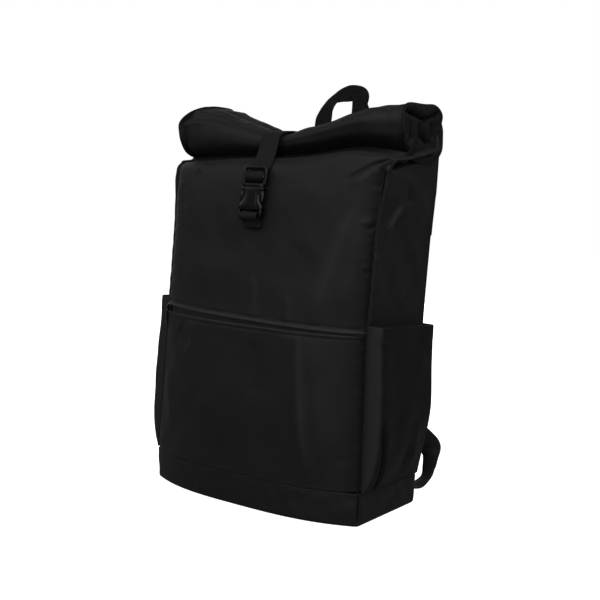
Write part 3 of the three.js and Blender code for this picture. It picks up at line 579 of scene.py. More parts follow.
roll = {
    "along": (0, 18, 60, 105, 159), "centreY": (-15, -15, -11, -3, 8), "halfDeep": (37, 37, 41, 49, 60),
    "halfTall": (18, 18.1, 24.5, 31, 34.7), "bottom": 384, "half": 159, "innerHalf": 126,
    "start": 8, "square": 0.74, "turn": 600, "pitch": 0.2, "thick": 2.2,
    # lengthwise wrinkles: x and degrees turned, to x and degrees, bow, half width and depth
    "folds": ((-138, 128, -20, 112, 4, 6, 2.2), (-126, 150, -24, 128, 3, 5, -2.0),
              (-140, 168, -40, 142, -4, 7, 2.0),
              (-96, 92, -16, 92, -3, 5, -1.8), (-90, 72, -20, 78, 2, 5, 1.6), (24, 104, 110, 112, 3, 6, 1.6),
              (30, 132, 118, 142, 4, 9, -0.8), (40, 84, 128, 86, -3, 6, 1.4),
              (126, 96, 124, 205, -5, 8, -2.6),
              (136, 92, 138, 160, 2, 6, 0.8), (-128, 100, -130, 190, 4, 9, -2.4)),
}


def rollAt(x, degrees, share=1.0):
    # the roll's section at a station: an oval squared by a power, resting on one level line
    row = rowOf(roll["along"], np.minimum(np.abs(x), roll["half"]))
    centre, deep, tall = (through(roll[key], row) for key in ("centreY", "halfDeep", "halfTall"))
    angle = np.radians(degrees)
    y = centre + share * deep * squared(np.cos(angle), roll["square"])
    z = roll["bottom"] + tall + share * tall * squared(np.sin(angle), roll["square"])
    return np.stack(np.broadcast_arrays(x, y, z), -1)


upperBack = {"footY": 72, "footZ": 364.4, "bendY": 70, "bendRise": 0.85, "footHalf": 141, "headHalf": 144}


def slopeAt(across, rise):
    # the upper back: a quadratic curve from the back panel's top, by a bend near its height, to the roll
    across, rise = np.broadcast_arrays(np.asarray(across, float), np.asarray(rise, float))
    k = upperBack
    head = rollAt(across * roll["half"], np.full(across.shape, roll["start"]))
    bendZ = mix(k["footZ"], head[..., 2], k["bendRise"])
    a, b, c = (1 - rise) ** 2, 2 * rise * (1 - rise), rise ** 2
    y = a * k["footY"] + b * k["bendY"] + c * head[..., 1]
    z = a * k["footZ"] + b * bendZ + c * head[..., 2]
    return np.stack([mix(k["footHalf"], k["headHalf"], rise) * across, y, z], -1)


# the gussets' tops by side: how far they stand out, and how much higher the front seam ends
sideTop = {"flare": {-1: 3, 1: 6}, "lift": {-1: 1, 1: 9}, "slopeShare": 0.55, "outOver": 0.6}


def gussetAt(side, depth, row):
    # the side from the front seam at 0 to the back seam at 1, standing out past the seams near its top
    depth, row = np.broadcast_arrays(np.asarray(depth, float), np.asarray(row, float))
    top = np.clip((row - shoulderRow) / (lastRow - shoulderRow), 0, 1)
    front = frontAt(np.full(row.shape, float(side)), row)
    plainBack = np.stack([through(sack[key], row) for key in ("half", "backY", "backZ")], -1)
    back = np.where((row > shoulderRow)[..., None], slopeAt(np.ones(row.shape), top * sideTop["slopeShare"]),
                    plainBack)
    outside = ease((row - shoulderRow + sideTop["outOver"]) / sideTop["outOver"])
    flare = sideTop["flare"][side] * top ** 2 * (1 - (2 * depth - 1) ** 6)
    y = mix(front[..., 1] + clothThick + seamGap, back[..., 1] - seamGap, depth)
    z = mix(front[..., 2], back[..., 2], mix(depth, depth ** 0.8, top))
    z = z + sideTop["lift"][side] * (1 - depth) ** 2.4 * ease((row - shoulderRow) / shoulderOver)
    x = mix(side * front[..., 0], back[..., 0], depth) + (clothThick + seamGap) * outside + flare
    return np.stack([side * x, y, z], -1)


neck = {"x": (-150, -100, -50, 0, 35, 60, 85, 110, 141), "lift": (0, 3, 6.5, 8, 9.5, 12.5, 16.5, 17, 12)}


def neckLift(x):
    # how much higher the front's top stands under the roll: lower in the middle, higher to the right
    return through(neck["lift"], rowOf(neck["x"], x))


# front panels above and below the zip; folds run from x and z to x and z, with bow, half width and depth
# outwards
frontCloth = {
    "columns": 220, "rows": 170, "drift": 0.45, "wave": 46, "seed": 3, "welt": (1.7, 2.0, 1.8),
    # share of painted highlight along the welt's edge
    "weltHighlight": 0.75,
    "seamRoll": {-1: (2.4, 6.0), 1: (7.5, 10.0)}, "flap": (2.5, 8.5, 42),
    "folds": ((101, 365, 139, 392, 0, 2.1, -3.8), (106, 360, 140, 381, 0, 6, 2.0),
              (119, 350, 78, 200, -1, 7.5, 3.2),
              (130, 334, 108, 214, 4, 16, 2.2), (140, 320, 127, 316, 0, 2.4, -4.4),
              (134, 324, 121, 323, 0, 3.4, 1.8),
              (135, 277, 127, 276, 0, 3.0, 1.2), (135, 271, 128, 270, 0, 3.0, -1.2),
              (3, 262, 8, 206, 2, 5, 1.6),
              (50, 246, 57, 206, 0, 5, 1.6), (-96, 373, -104, 358, 0, 5, -2.0),
              (-128, 354, -112, 326, -3, 10, -0.9),
              (-134, 330, -120, 300, 0, 12, 0.7), (60, 300, 40, 250, 4, 16, -1.2),
              (-60, 340, -50, 260, 6, 22, -1.0)),
    # painted highlights along the ridges: from x and z to x and z, bow, half width and share of highlight
    "paintedHighlight": ((118, 350, 77, 200, -1, 9, 0.30), (3, 262, 8, 206, 2, 4, 0.12), (50, 246, 57, 206, 0, 4, 0.10),
               (133, 325, 120, 324, 0, 3, 0.16), (108, 374, 132, 392, 0, 6, 0.12),
               (112, 362, 134, 372, 0, 7, 0.2)),
}
pocketCloth = {
    # one of these is the share of painted highlight along the welt's edge
    "columns": 220, "rows": 160, "drift": 0.5, "wave": 54, "seed": 5, "welt": (1.2, 1.7, 1.4), "weltHighlight": 0.5,
    "seamRoll": {-1: (2.4, 6.0), 1: (9.0, 11.5)},
    "folds": ((66, 214, 89, 40, -2, 5.5, 3.0), (84, 214, 109, 40, -2, 18, 3.0),
              (8, 197, 22, 118, 3, 14, -1.8),
              (-110, 186, -82, 170, 0, 11, -3.4), (-92, 198, -72, 186, 0, 8, 1.6),
              (116, 68, 136, 72, 2, 5, -0.6),
              (114, 60, 136, 64, 1, 7, 0.5), (-40, 60, -60, 120, 6, 18, 1.4),
              (-128, 140, -112, 60, 4, 12, 2.0),
              (-20, 190, -12, 120, 4, 20, 1.2)),
    # painted highlights along the ridges: from x and z to x and z, bow, half width and share of highlight
    "paintedHighlight": ((70, 214, 92, 44, -2, 6.5, 0.22), (92, 200, 112, 70, -2, 16, 0.10)),
}
# both panels: calm near the seams, puckers along them, the welt's stitched hollow and turned edge, the width
# of the painted highlight on the welt's edge, and the top's right corner
panel = {"calmSide": 7, "calmZip": (3, 14), "pucker": (0.45, 11, 9, 3), "hollow": (0.5, 3.4, 1.4),
         "turned": (0.8, 0.7),
         "ripple": (0.18, 17, 14), "foot": (0.25, 0.8), "calmTop": 12, "flapHalf": 140, "flapOut": 0.9,
         "highlightWide": 1.9,
         "drawnIn": 0.35, "topLift": (6, 6.45, 0.55), "corner": (11.5, 108, 34, 5.5, 0.9), "stretched": 0.2}


def seamDrop(values, x, fromSide):
    # how far the cloth rolls back into the side seams: deep * exp(-(distance / reach)^1.6)
    (leftDeep, leftReach), (rightDeep, rightReach) = values["seamRoll"][-1], values["seamRoll"][1]
    return np.where(x < 0, leftDeep, rightDeep) * hill(fromSide, np.where(x < 0, leftReach, rightReach), 1.6)


def frontFace(values, low, high, weltAt):
    # the bowed front between two rows, pushed out by folds and drift; its side edges roll back into the seams
    # and its edge at the zip is doubled
    k = panel
    shares = denseEnds(values["rows"], 0.55)
    row, rise, length = rowsByLength(lambda r: frontAt(np.zeros(r.shape), r), low, high, shares)
    across = denseEnds(values["columns"], 0.6) * 2 - 1
    face = frontAt(across[None, :], row[:, None])
    lift, start, over = k["topLift"]
    face[..., 2] += (neckLift(face[..., 0]) * ease((row[:, None] - shoulderRow) / shoulderOver)
                     + lift * ease((row[:, None] - start) / over))
    x, z = face[..., 0], face[..., 2]
    fromSide = (1 - np.abs(across))[None, :] * through(sack["half"], row)[:, None]
    fromLow, fromHigh = rise[:, None], (length - rise)[:, None]
    fromZip, fromOther = (fromLow, fromHigh) if weltAt == "low" else (fromHigh, fromLow)
    past, over = k["calmZip"]
    calm = ease(fromSide / k["calmSide"]) * ease((fromZip + past) / over)
    push = (foldPush(values["folds"], x, z, 0.3) + values["drift"] * drift(x, z, values["seed"],
                                                                           values["wave"])) * calm
    deep, wave, wide, over = k["pucker"]
    pucker = deep * drift(x * k["stretched"], z, values["seed"] + 40, wave)
    push += pucker * hill(fromSide, wide) * ease(fromSide / over)
    dropped = seamDrop(values, x, fromSide)
    thick, at, wide = values["welt"]
    hollow, past, hollowWide = k["hollow"]
    push += thick * hill(fromZip - at, wide) - hollow * hill(fromZip - at - past, hollowWide) - dropped
    deep, over = k["turned"]
    push -= deep * hill(fromZip, over, 1)
    deep, wave, wide = k["ripple"]
    push += deep * drift(x, z * k["stretched"], values["seed"] + 60, wave) * hill(fromZip, wide)
    if weltAt == "high":
        deep, over = k["foot"]
        push -= deep * hill(fromOther, over, 1)
    else:
        push *= ease(fromOther / k["calmTop"])
    out = face.copy()
    out[..., 1] -= push
    if "flap" in values:
        least, most, over = values["flap"]
        hang = 1 - ease(fromZip / over)
        out[..., 2] -= mix(least, most, np.clip((x + k["flapHalf"]) / (2 * k["flapHalf"]), 0, 1)) * hang
        out[..., 1] -= k["flapOut"] * hang ** 6
    shift, startX, overX, startRow, overRow = k["corner"]
    out[..., 0] -= np.sign(x) * k["drawnIn"] * dropped
    out[..., 0] += shift * ease((x - startX) / overX) * ease((row[:, None] - startRow) / overRow)
    # painted highlights along the ridges and on the welt's edge
    highlightShare = foldPush(values["paintedHighlight"], x, z, 0.4) * calm + values["weltHighlight"] * hill(fromZip - at, k["highlightWide"])
    return out, np.clip(highlightShare, 0, 1)


lowRow, zipLow, zipHigh = (rowOf(sack["frontZ"], z) for z in
                           (baseSeam + 0.1, zipMiddle - zipTall / 2, zipMiddle + zipTall / 2))
upperFace, upperHighlight = frontFace(frontCloth, zipHigh, lastRow, "low")
lowerFace, lowerHighlight = frontFace(pocketCloth, lowRow, zipLow, "high")
settle(clothShell("front_cloth", upperFace, clothThick, cloth, highlightShare=upperHighlight), "cloth", "front_panel")
settle(clothShell("pocket_cloth", lowerFace, clothThick, cloth, highlightShare=lowerHighlight), "cloth", "pocket_panel")
print("front cloth made")

# zip between the welts: two tapes that meet over the coil, and a slider
zipTape = {"columns": 160, "rows": 25, "recess": 0.4, "thick": 1.0, "parting": (0.3, 0.07),
           "swell": (0.6, 0.45),
           "under": 0.12, "reach": 0.985}


def zipFace(values):
    # a strip of the front set back from the welts, swelling over the coil, with a parting along the middle
    share = np.linspace(0, 1, values["rows"])
    row = mix(zipLow, zipHigh, mix(-values["under"], 1 + values["under"], share))
    across = np.linspace(-values["reach"], values["reach"], values["columns"])
    face = frontAt(across[None, :], row[:, None])
    t = (2 * share - 1)[:, None]
    fromSide = (1 - np.abs(across)) * through(sack["half"], row[len(row) // 2])
    (swell, swellWide), (parting, partingWide) = values["swell"], values["parting"]
    face[..., 1] += seamDrop(pocketCloth, across, fromSide)
    face[..., 1] += values["recess"] - swell * hill(t, swellWide) + parting * hill(t, partingWide)
    return face


settle(clothShell("zip_strip", zipFace(zipTape), zipTape["thick"], zipCloth), "zip", "zip_tape")

# the slider's blocks: name, width, depth, low and high end, waist and how far in front
slider = {"across": -0.92, "front": 1.6, "blocks": (
    ("sliderBody", 9, 4.2, -4, 4, 0.12, 0), ("sliderBridge", 3.4, 3.0, -4.5, 2.6, 0, 3.0),
    ("sliderPull", 5, 1.7, -19.4, -3.2, 0.1, 4.2))}


def blockRings(wide, deep, low, high, waist, rows=9):
    # a moulded block: squared ovals from its low to its high end, drawn in at both ends over a round, and at
    # the waist
    height = np.linspace(0, 1, rows)
    full = np.sqrt(np.clip(1 - np.abs(2 * height - 1) ** 7, 0.16, 1))
    drawn = np.stack([mix(0.9, 1, full) - waist * np.sin(math.pi * height), mix(0.7, 1, full)], -1)
    rings = oval(wide, deep, 0.35, 28)[None] * drawn[:, None]
    return np.concatenate([rings, np.broadcast_to(mix(low, high, height)[:, None, None],
                                                  (*rings.shape[:2], 1))], -1)


def makeSlider(values):
    # a waisted body over the coil, a bridge in front of it and a flat pull hanging from the bridge,
    # turned about the upright axis to lie along the front
    seat, beside = frontAt([values["across"], values["across"] + 0.01], rowOf(sack["frontZ"], zipMiddle))
    c, s, _ = unit((beside - seat) * (1, 1, 0))
    turn = np.array([(c, s, 0), (-s, c, 0), (0, 0, 1)])
    at = seat - (0, values["front"], 0)
    return joined("zip_puller", [loft(name, (blockRings(*block) - (0, front, 0)) @ turn + at, plastic)
                                 for name, *block, front in values["blocks"]])


settle(makeSlider(slider), "plastic", "zip_slider")
print("zip made")

# base: a tray of heavier cloth under the panels; its rim as distance below the seam and inset
base = {"corner": 2.6, "edge": 4.0, "floor": 2.5, "points": 900, "drift": (0.35, 17, 30),
        "groove": (5.0, 1.7),
        "frontPoints": 160, "sidePoints": 60, "grooveFrom": 6, "driftFade": (8, 6),
        "wall": 2.4, "middle": (0, -10), "underShares": (0, 0.3, 0.6, 0.85), "floorShares": (0.6, 0.3, 0),
        "rim": ((2.4, 0.0), (1.3, 0.0), (0.6, 0.15), (0.2, 0.5), (0.05, 1.3), (0.3, 2.2), (2, 2.4),
                (17, 2.4))}


def roundedLoop(points, count, soft):
    # a closed outline at even steps, its corners softened by a Gaussian of the asked length
    closed = np.concatenate([points, points[:1]])
    run = lengthAlong(closed)
    loop = pickAt(np.linspace(0, run[-1], count, endpoint=False), run, closed)
    freq = np.fft.fftfreq(count, run[-1] / count)
    keep = np.exp(-2 * (math.pi * freq * soft) ** 2)[:, None]
    return np.real(np.fft.ifft(np.fft.fft(loop, axis=0) * keep, axis=0))


def baseLoop(z, inset):
    # front bow, right side, back and left side at one height, inset along the outline's normal;
    # a groove marks both front corners
    row = float(rowOf(sack["frontZ"], z))
    half, backY = float(through(sack["half"], row)), float(through(sack["backY"], row))
    front = frontAt(np.linspace(-1, 1, base["frontPoints"]), row)[:, :2]
    rightBack, leftBack = np.array([half, backY]), np.array([-half, backY])
    steps = np.linspace(0, 1, base["sidePoints"])[1:, None]
    outline = np.concatenate([front, mix(front[-1], rightBack, steps), mix(rightBack, leftBack, steps),
                              mix(leftBack, front[0], steps[:-1])])
    loop = roundedLoop(outline, base["points"], base["corner"])
    corner = np.minimum(*(np.linalg.norm(loop - end, axis=1) for end in (front[0], front[-1])))
    most, seed, wave = base["drift"]
    uneven = most * drift(loop[:, 0] + loop[:, 1], np.full(len(loop), z), seed, wave)
    deep, wide = base["groove"]
    pull = inset + deep * hill(corner - corner.min(), wide) * ease(z / base["grooveFrom"])
    fromFloor, fromSeam = base["driftFade"]
    pull = pull - uneven * ease(z / fromFloor) * ease((baseSeam - z) / fromSeam)
    return np.concatenate([loop - loopOutward(loop) * pull[:, None], np.full((len(loop), 1), z)], 1)


def makeBase(values):
    # rings up the outside from the middle of the underside, over the rim, down the inside and across the
    # floor
    e, floor = values["edge"], values["floor"]
    profile = [(e * (1 - math.cos(b)), e * (1 - math.sin(b))) for b in np.radians(np.linspace(0, 90, 7))]
    profile += [(z, 0.0) for z in np.linspace(e + 2, baseSeam - 3.5, 14)]
    profile += [(baseSeam - d, i) for d, i in values["rim"]] + [(floor + 2, values["wall"]), (floor, 6)]
    rings = [baseLoop(z, inset) for z, inset in profile]
    under = [mix(np.array([*values["middle"], 0.0]), rings[0], s) * (1, 1, 0) for s in values["underShares"]]
    over = [mix(np.array([*values["middle"], floor]), rings[-1], s) for s in values["floorShares"]]
    return ringPiece("base_cloth", np.array(under + rings + over), cloth)


settle(makeBase(base), "cloth", "base_panel")
print("base made")

# gussets with their turned-in tops, and the open side pockets over them; folds run from y and z to y and z
gusset = {
    "columns": 110, "rows": 250, "closer": 0.45, "drift": (0.5, 11, 40), "ridge": (1.3, 2.4, 1.7),
    "pucker": (0.4, 31, 11, 9),
    # one of these is the share of painted highlight on the raised edge by the front seam
    "topEdge": (2.4, 4), "tuckStart": 2.5, "ridgeHighlight": 0.22, "lip": 4.6, "leastLip": 0.15, "lipSteps": 11,
    "curl": 165,
    # allowances turned in behind the front and the back: inwards and backwards from the seam
    "frontTurn": ((12, 10.5), (3.4, 9)), "backTurn": ((2, -1.6), (13, -2.2)),
    "folds": ((4, 346, -28, 308, -2, 4.6, 6.0), (16, 338, -14, 302, -2, 7, -2.4),
              (-34, 371, 12, 372, 1, 5, 2.6),
              (-38, 362, -22, 356, 0, 6, -2.0), (8, 368, 22, 340, 0, 7, -3.0), (34, 362, 62, 322, 0, 12, 3.0),
              (-44, 323, -32, 318, 0, 4, -3.0), (44, 268, 20, 234, 2, 9, -2.0),
              (-34, 268, -40, 226, 0, 9, 1.4),
              (30, 300, 54, 276, 0, 8, 1.4), (-10, 296, -2, 240, 3, 12, 1.6)),
    "tucks": ((-50, 374, -39, 380.5, 0, 2.6, -8.0), (-39, 380.5, -22, 384, 0, 2.6, -9.0),
              (-22, 384, 14, 391.5, 0, 2.8, -9.0), (14, 391.5, 40, 398, 0, 2.6, -5.0)),
    # painted highlights along the ridges and the tucks' edges: from y and z to y and z, bow, half width and
    # share
    "paintedHighlight": ((3, 344, -27, 309, -2, 4, 0.32), (-46, 366, 44, 374, 1, 9, 0.2),
               (36, 360, 60, 324, 0, 10, 0.12),
               (-40, 386, 3, 394, 0, 3, 0.3), (3, 394, 44, 404, 0, 3, 0.2)),
}


def gussetFace(values, side):
    # the side's own form with folds, a raised edge along the front seam and its top edge curled in;
    # its seam allowances turn in behind the panels
    share = np.linspace(0, 1, values["rows"])
    share = mix(share, 1 - (1 - share) ** 2, values["closer"])
    row, rise, length = rowsByLength(lambda r: gussetAt(1, np.full(r.shape, 0.5), r),
                                     rowOf(sack["frontZ"], baseSeam + seamGap), lastRow, share)
    depth = denseEnds(values["columns"], 0.6)
    face = gussetAt(side, depth[None, :], row[:, None])
    y, z = face[..., 1], face[..., 2]
    swing, ends = (np.sin(math.pi * depth)[None, :] ** power for power in (0.7, 0.3))
    most, seed, wave = values["drift"]
    push = (foldPush(values["folds"], y, z, 0.35) + most * drift(y, z, seed + side, wave)) * swing
    fromFront = depth[None, :] * (y[:, -1:] - y[:, :1])
    tall, at, wide = values["ridge"]
    ridge = hill(fromFront - at, wide)
    most, seed, wave, wide = values["pucker"]
    push += tall * ridge + most * drift(y * panel["stretched"], z, seed + side, wave) * hill(fromFront, wide)
    most, wide = values["topEdge"]
    push += most * hill((length - rise)[:, None], wide) * ends
    push += foldPush(values["tucks"], y, z) * ease(fromFront / values["tuckStart"]) * ends ** 0.3
    face[..., 0] += side * push
    curl = np.radians(np.linspace(0, values["curl"], values["lipSteps"]))[1:, None, None]
    lip = values["lip"] * np.maximum(ends, values["leastLip"])[..., None]
    turned = face[-1:] + lip * np.concatenate([-side * (1 - np.cos(curl)), 0 * curl, np.sin(curl)], -1)
    # painted highlights along the ridges and on the raised edge by the front seam; the curled lip repeats the
    # top row's
    highlightShare = foldPush(values["paintedHighlight"], y, z, 0.35) + values["ridgeHighlight"] * ridge
    highlightShare = np.concatenate([highlightShare, np.broadcast_to(highlightShare[-1], turned.shape[:2])])
    face = np.concatenate([face, turned])
    front, back = ([face[:, column] + np.array([-side * x, y, 0]) for x, y in values[key]]
                   for key, column in (("frontTurn", slice(0, 1)), ("backTurn", slice(-1, None))))
    highlightShare = np.pad(highlightShare, ((0, 0), (len(front), len(back))))
    return np.concatenate(front + [face] + back, 1), np.clip(highlightShare, 0, 1)


sidePocket = {
    "columns": 120, "rows": 120, "taper": 0.1, "rise": (0, 0.07, 0.2, 0.45, 0.75, 1),
    "out": (0, 8, 15, 18, 16.5, 15.5),
    "hem": (0.6, 17, 1.6), "groove": (0.5, 2.6, 0.9), "ripple": (0.15, 51, 12, 9), "drift": (0.5, 21, 44),
    "mouth": (2.8, -3.3), "boxPower": 26,
    # painted highlight on the front facet: its share, and where across the depth it starts and fades out
    "leftRise": 5, "leftShare": 0.88, "facetHighlight": (0.6, 0.012, 0.035), "calm": (0.02, 0.1),
    "heel": (0.62, 85),  # how much flatter it lies at the back of its foot, and over which height
    "folds": ((-49, 124, -38, 8, 2.5, 2.8, -9.5), (10, 38, 22, 90, 2, 10, -1.8),
              (34, 40, 30, 110, 0, 9, 1.5), (-6, 196, 4, 150, 0, 12, -1.2), (40, 190, 30, 150, 0, 10, 1.2)),
}


def sidePocketFace(values, side):
    # stands out from the gusset by a bulge that grows from the base seam, boxed off at the front and back
    # seams
    share, u = denseEnds(values["rows"], 0.4), denseEnds(values["columns"], 0.75)[None, :]
    low = baseSeam + seamGap
    mouth = pocketMouth + mix(*values["mouth"], u) + (values["leftRise"] if side < 0 else 0)
    z = mix(low, mouth, share[:, None])
    face = gussetAt(side, u, rowOf(sack["frontZ"], z))
    y = face[..., 1]
    box = np.sqrt(np.clip(1 - (2 * u - 1) ** values["boxPower"], 0, 1))
    full = through(values["out"], rowOf(values["rise"],
                                        share))[:, None] * (values["leftShare"] if side < 0 else 1)
    most, seed, wave = values["drift"]
    calmFront, calmBack = values["calm"]
    fold = foldPush(values["folds"], y, z, 0.4) + most * drift(y, z, seed + side, wave)
    fold = fold * (ease(u / calmFront) * ease((1 - u) / calmBack))
    flatter, over = values["heel"]
    heel = 1 - flatter * u ** 2 * (1 - ease((z - low) / over))
    bulge = np.maximum(0, full * box * heel * (1 - values["taper"] * u) + fold)
    thick, deep, soft = values["hem"]
    groove, above, grooveWide = values["groove"]
    ripple, seed, wave, rippleWide = values["ripple"]
    fromTop = mouth - z
    hem = thick * ease((deep - fromTop) / soft) - groove * hill(fromTop - deep + above, grooveWide)
    hem += ripple * drift(y, z * panel["stretched"], seed + side, wave) * hill(fromTop - deep, rippleWide)
    face[..., 0] += side * (2 * seamGap + clothThick * box + bulge + hem * box)
    # painted highlight: the facet by the front seam is painted paler than the rest of the pocket, as if lit
    paintedHighlight, start, over = values["facetHighlight"]
    return face, np.broadcast_to(paintedHighlight * (1 - ease((u - start) / over)), y.shape)


for word, side in bothSides:
    sideFace, sideHighlight = gussetFace(gusset, side)
    sideCloth = clothShell(word + "_gusset_cloth", sideFace, clothThick, cloth, flip=side < 0, highlightShare=sideHighlight)
    settle(sideCloth, "cloth", word + "_gusset")
    pouchFace, pouchHighlight = sidePocketFace(sidePocket, side)
    # the pocket takes the darker cloth, a painted shade
    bottlePocket = clothShell(word + "_bottle_pocket", pouchFace, clothThick, shadedCloth, flip=side < 0,
                              highlightShare=pouchHighlight)
    settle(bottlePocket, "cloth", word + "_side_pocket")
print("sides made")

# the rolled mouth
rollCloth = {
    "columns": 190, "rows": 230, "slopeShare": 0.14, "drift": (0.5, 13, 38, 0.8),
    "slopeDrift": (0.9, 71, 44, 0.3),
    "outerEnd": (330, 40), "foldFrom": 25, "dentFrom": (5, 20),
    "strapDent": (2.0, 17, -3), "outer": 151, "inward": (340, 60),
    # from the underside to the top: how much shorter each end is there and at its front, and where its full
    # length starts
    "level": (-1, -0.6, -0.2, 0.2, 0.6, 1), "leftCut": (-1, 3, 2, 1, 11, 26),
    "rightCut": (4, 1, 0, 0, 1.5, 6),
    "frontCut": (12, 1), "fullFrom": (75, 26),
    # the right end's front drawn back, the underside lifted, the middle slumped, the top sagging left and
    # right of the strap, its left end lower, and the right end's top squared at the back
    "rightPull": (18, 108, 42), "under": (230, 48, 0.8), "slump": (9.5, -58, 60, 205, 52, 0.15),
    "sag": (7.0, 74, 5.0, 62, 36), "leftDrop": (2.5, 85, 40), "square": (7.4, 46, 23, 104, 36),
}


def rollHalf(turned, side):
    # half length of the outer turn at each end, cut back towards its front, its top and its underside
    turned, side = np.broadcast_arrays(np.asarray(turned, float), np.asarray(side, float))
    k = rollCloth
    row = rowOf(k["level"], squared(np.sin(np.radians(turned + roll["start"])), roll["square"]))
    front = (1 - np.cos(np.radians(turned))) / 2
    cut = np.where(side < 0, through(k["leftCut"], row) + k["frontCut"][0] * front,
                   through(k["rightCut"], row) + k["frontCut"][1] * front)
    outer = mix(sack["half"][-1], k["outer"] - cut, ease(turned / np.where(side < 0, *k["fullFrom"])))
    start, over = k["inward"]
    return mix(outer, roll["innerHalf"], ease((turned - start) / over))


def rollShape(points, turned):
    # the front of the right end is drawn back, the underside lifts with the cloth below, the middle slumps
    # forward, the top sags beside the strap and the right end's top stands square at the back
    k = rollCloth
    degrees = np.mod(turned + roll["start"], 360)
    angle, x = np.radians(degrees), points[..., 0].copy()
    deep, start, over = k["rightPull"]
    points[..., 1] += deep * ease((x - start) / over) * np.clip(-np.cos(angle), 0, 1) ** 0.7
    at, wide, share = k["under"]
    under = hill(degrees - at, wide) * neckLift(x)
    points[..., 2] += share * under
    points[..., 1] += np.maximum(under, 0)
    most, atX, wideX, at, wide, share = k["slump"]
    slump = most * hill(degrees - at, wide) * hill(x - atX, wideX)
    points[..., 1] -= slump
    points[..., 2] -= share * slump
    leftSag, leftAt, rightSag, rightAt, wide = k["sag"]
    sag = np.where(x < 0, leftSag, rightSag) * hill(np.abs(x) - np.where(x < 0, leftAt, rightAt), wide)
    drop, start, over = k["leftDrop"]
    points[..., 2] -= (sag + drop * ease((-x - start) / over)) * np.clip(np.sin(angle), 0, 1)
    lift, at, wide, start, over = k["square"]
    points[..., 2] += lift * hill(degrees - at, wide) * ease((x - start) / over)
    return points


def rollFace(values):
    # the upper back's slope, then turns of the oval that lose a share in each turn, wrinkled along the roll
    across = (denseEnds(values["columns"], 0.5) * 2 - 1)[None, :]
    steps, onward = np.linspace(0, 1, values["rows"]), values["slopeShare"]
    rise = (steps[steps < onward] / onward)[:, None]
    turned = (roll["turn"] * (steps[steps >= onward] - onward) / (1 - onward))[:, None]
    slope = slopeAt(across, rise)
    most, seed, wave, over = values["slopeDrift"]
    slope[..., 1] += most * drift(slope[..., 0], slope[..., 2], seed, wave) * ease(rise / over)
    degrees = roll["start"] + turned
    wound = rollAt(across * roll["half"], degrees, 1 - roll["pitch"] * turned / 360)
    wound[..., 0] = across * rollHalf(turned, across)
    wound = rollShape(wound, turned)
    x, lap = wound[..., 0], np.broadcast_to(turned, wound.shape[:2])
    end, over = values["outerEnd"]
    outerTurn = ease((end - lap) / over)
    most, seed, wave, stretch = values["drift"]
    push = foldPush(roll["folds"], x, lap) + most * drift(x, lap * stretch, seed, wave)
    dent, wide, at = values["strapDent"]
    start, over = values["dentFrom"]
    dented = dent * hill(x - at, wide, 4) * ease((lap - start) / over)
    push = push * outerTurn * ease(lap / values["foldFrom"]) - dented * outerTurn
    outward = (wound - rollAt(across * roll["half"], degrees, 0.0)) * (0, 1, 1)
    return np.concatenate([slope, wound + unit(outward) * push[..., None]])


settle(clothShell("rolled_mouth", rollFace(rollCloth), roll["thick"], cloth, flip=True), "cloth", "roll_top")

rollEnd = {
    "spokes": 150, "hoops": 60, "share": 0.965, "inset": 0.8, "thick": 1.2, "steady": 0.6,
    "creaseStart": 0.06,
    "lastTurn": 335, "backHalf": {-1: 145, 1: 149.5}, "backOver": 25, "bulge": 4, "sink": (2.5, 428, 12),
    # depth in y and z, to y and z, bow, half width and depth outwards
    "folds": ((-18, 443, 2, 441, 0, 2.6, -9.0), (2, 441, 29, 436.5, 0, 2.8, -9.0),
              (29, 436.5, 54, 445, 0, 2.6, -9.0),
              (-3, 436, -2, 416, 0, 2.3, -12.0), (-2, 416, -10, 402, 0, 2.4, -12.0),
              (17, 429, 20, 416, 0, 2.1, -9.0),
              (42, 433, 47, 419, 0, 1.8, -5.0), (-22, 417, -23, 407, 0, 2.2, -8.0),
              (-23, 407, -14, 399, 0, 2.2, -8.0),
              (24, 418, 38, 411, 0, 4.0, -5.0), (16, 409, 15, 400, 0, 3.6, -7.0),
              (-16, 436, -16, 412, 0, 4.0, 2.5),
              (5, 430, 4, 404, 0, 4.0, 2.5), (30, 428, 30, 420, 0, 6.0, 2.0)),
}


def rollEndFace(values, side):
    # hoops of the roll's end oval from its rim to its middle, bulging a little and creased by the tucked
    # gusset; what the roll's shape moves is evened out towards the middle
    spoke = np.linspace(-90, 270, values["spokes"], endpoint=False)[None, :]
    hoop = np.linspace(1, 0, values["hoops"])[:, None]
    at = rollAt(np.full(spoke.shape, float(roll["half"])), spoke, hoop * values["share"])
    turned = np.mod(spoke - roll["start"], 360)
    nearBack = ease((values["backOver"] - np.minimum(turned, 360 - turned)) / values["backOver"])
    rim = rollHalf(np.minimum(turned, values["lastTurn"]), side)
    rim = mix(rim, values["backHalf"][side], nearBack) - values["inset"]
    at[..., 0] = side * rim
    shift = rollShape(at.copy(), np.broadcast_to(spoke - roll["start"], at.shape[:2])) - at
    at = at + mix(shift.mean(1, keepdims=True), shift, ease(hoop / values["steady"])[..., None])
    y, z = at[..., 1], at[..., 2]
    sink, level, over = values["sink"]
    middle = np.minimum(rim.mean(), rim.min() + values["bulge"]) - sink * (1 - ease((z - level) / over))
    x = mix(middle, rim, hoop ** 3) + foldPush(values["folds"], y,
                                               z) * ease((1 - hoop) / values["creaseStart"])
    return np.stack([side * x, y, z], -1)


for word, side in bothSides:
    # the roll's ends take the darker cloth, a painted shade
    tuck = discShell(word + "_roll_end", rollEndFace(rollEnd, side), rollEnd["thick"], shadedCloth,
                     flip=side > 0)
    settle(tuck, "cloth", word + "_roll_tuck")
print("roll made")

# buckle, in its own upright frame: heights from its middle, leaning back with the cloth
buckle = {"place": (-3, -77.5, 349.5), "lean": 9, "plugThick": 4.2, "socketThick": 7.8, "bottom": -29,
          "upperSlot": 22, "lowerSlot": 12.5, "tabSlot": -23}
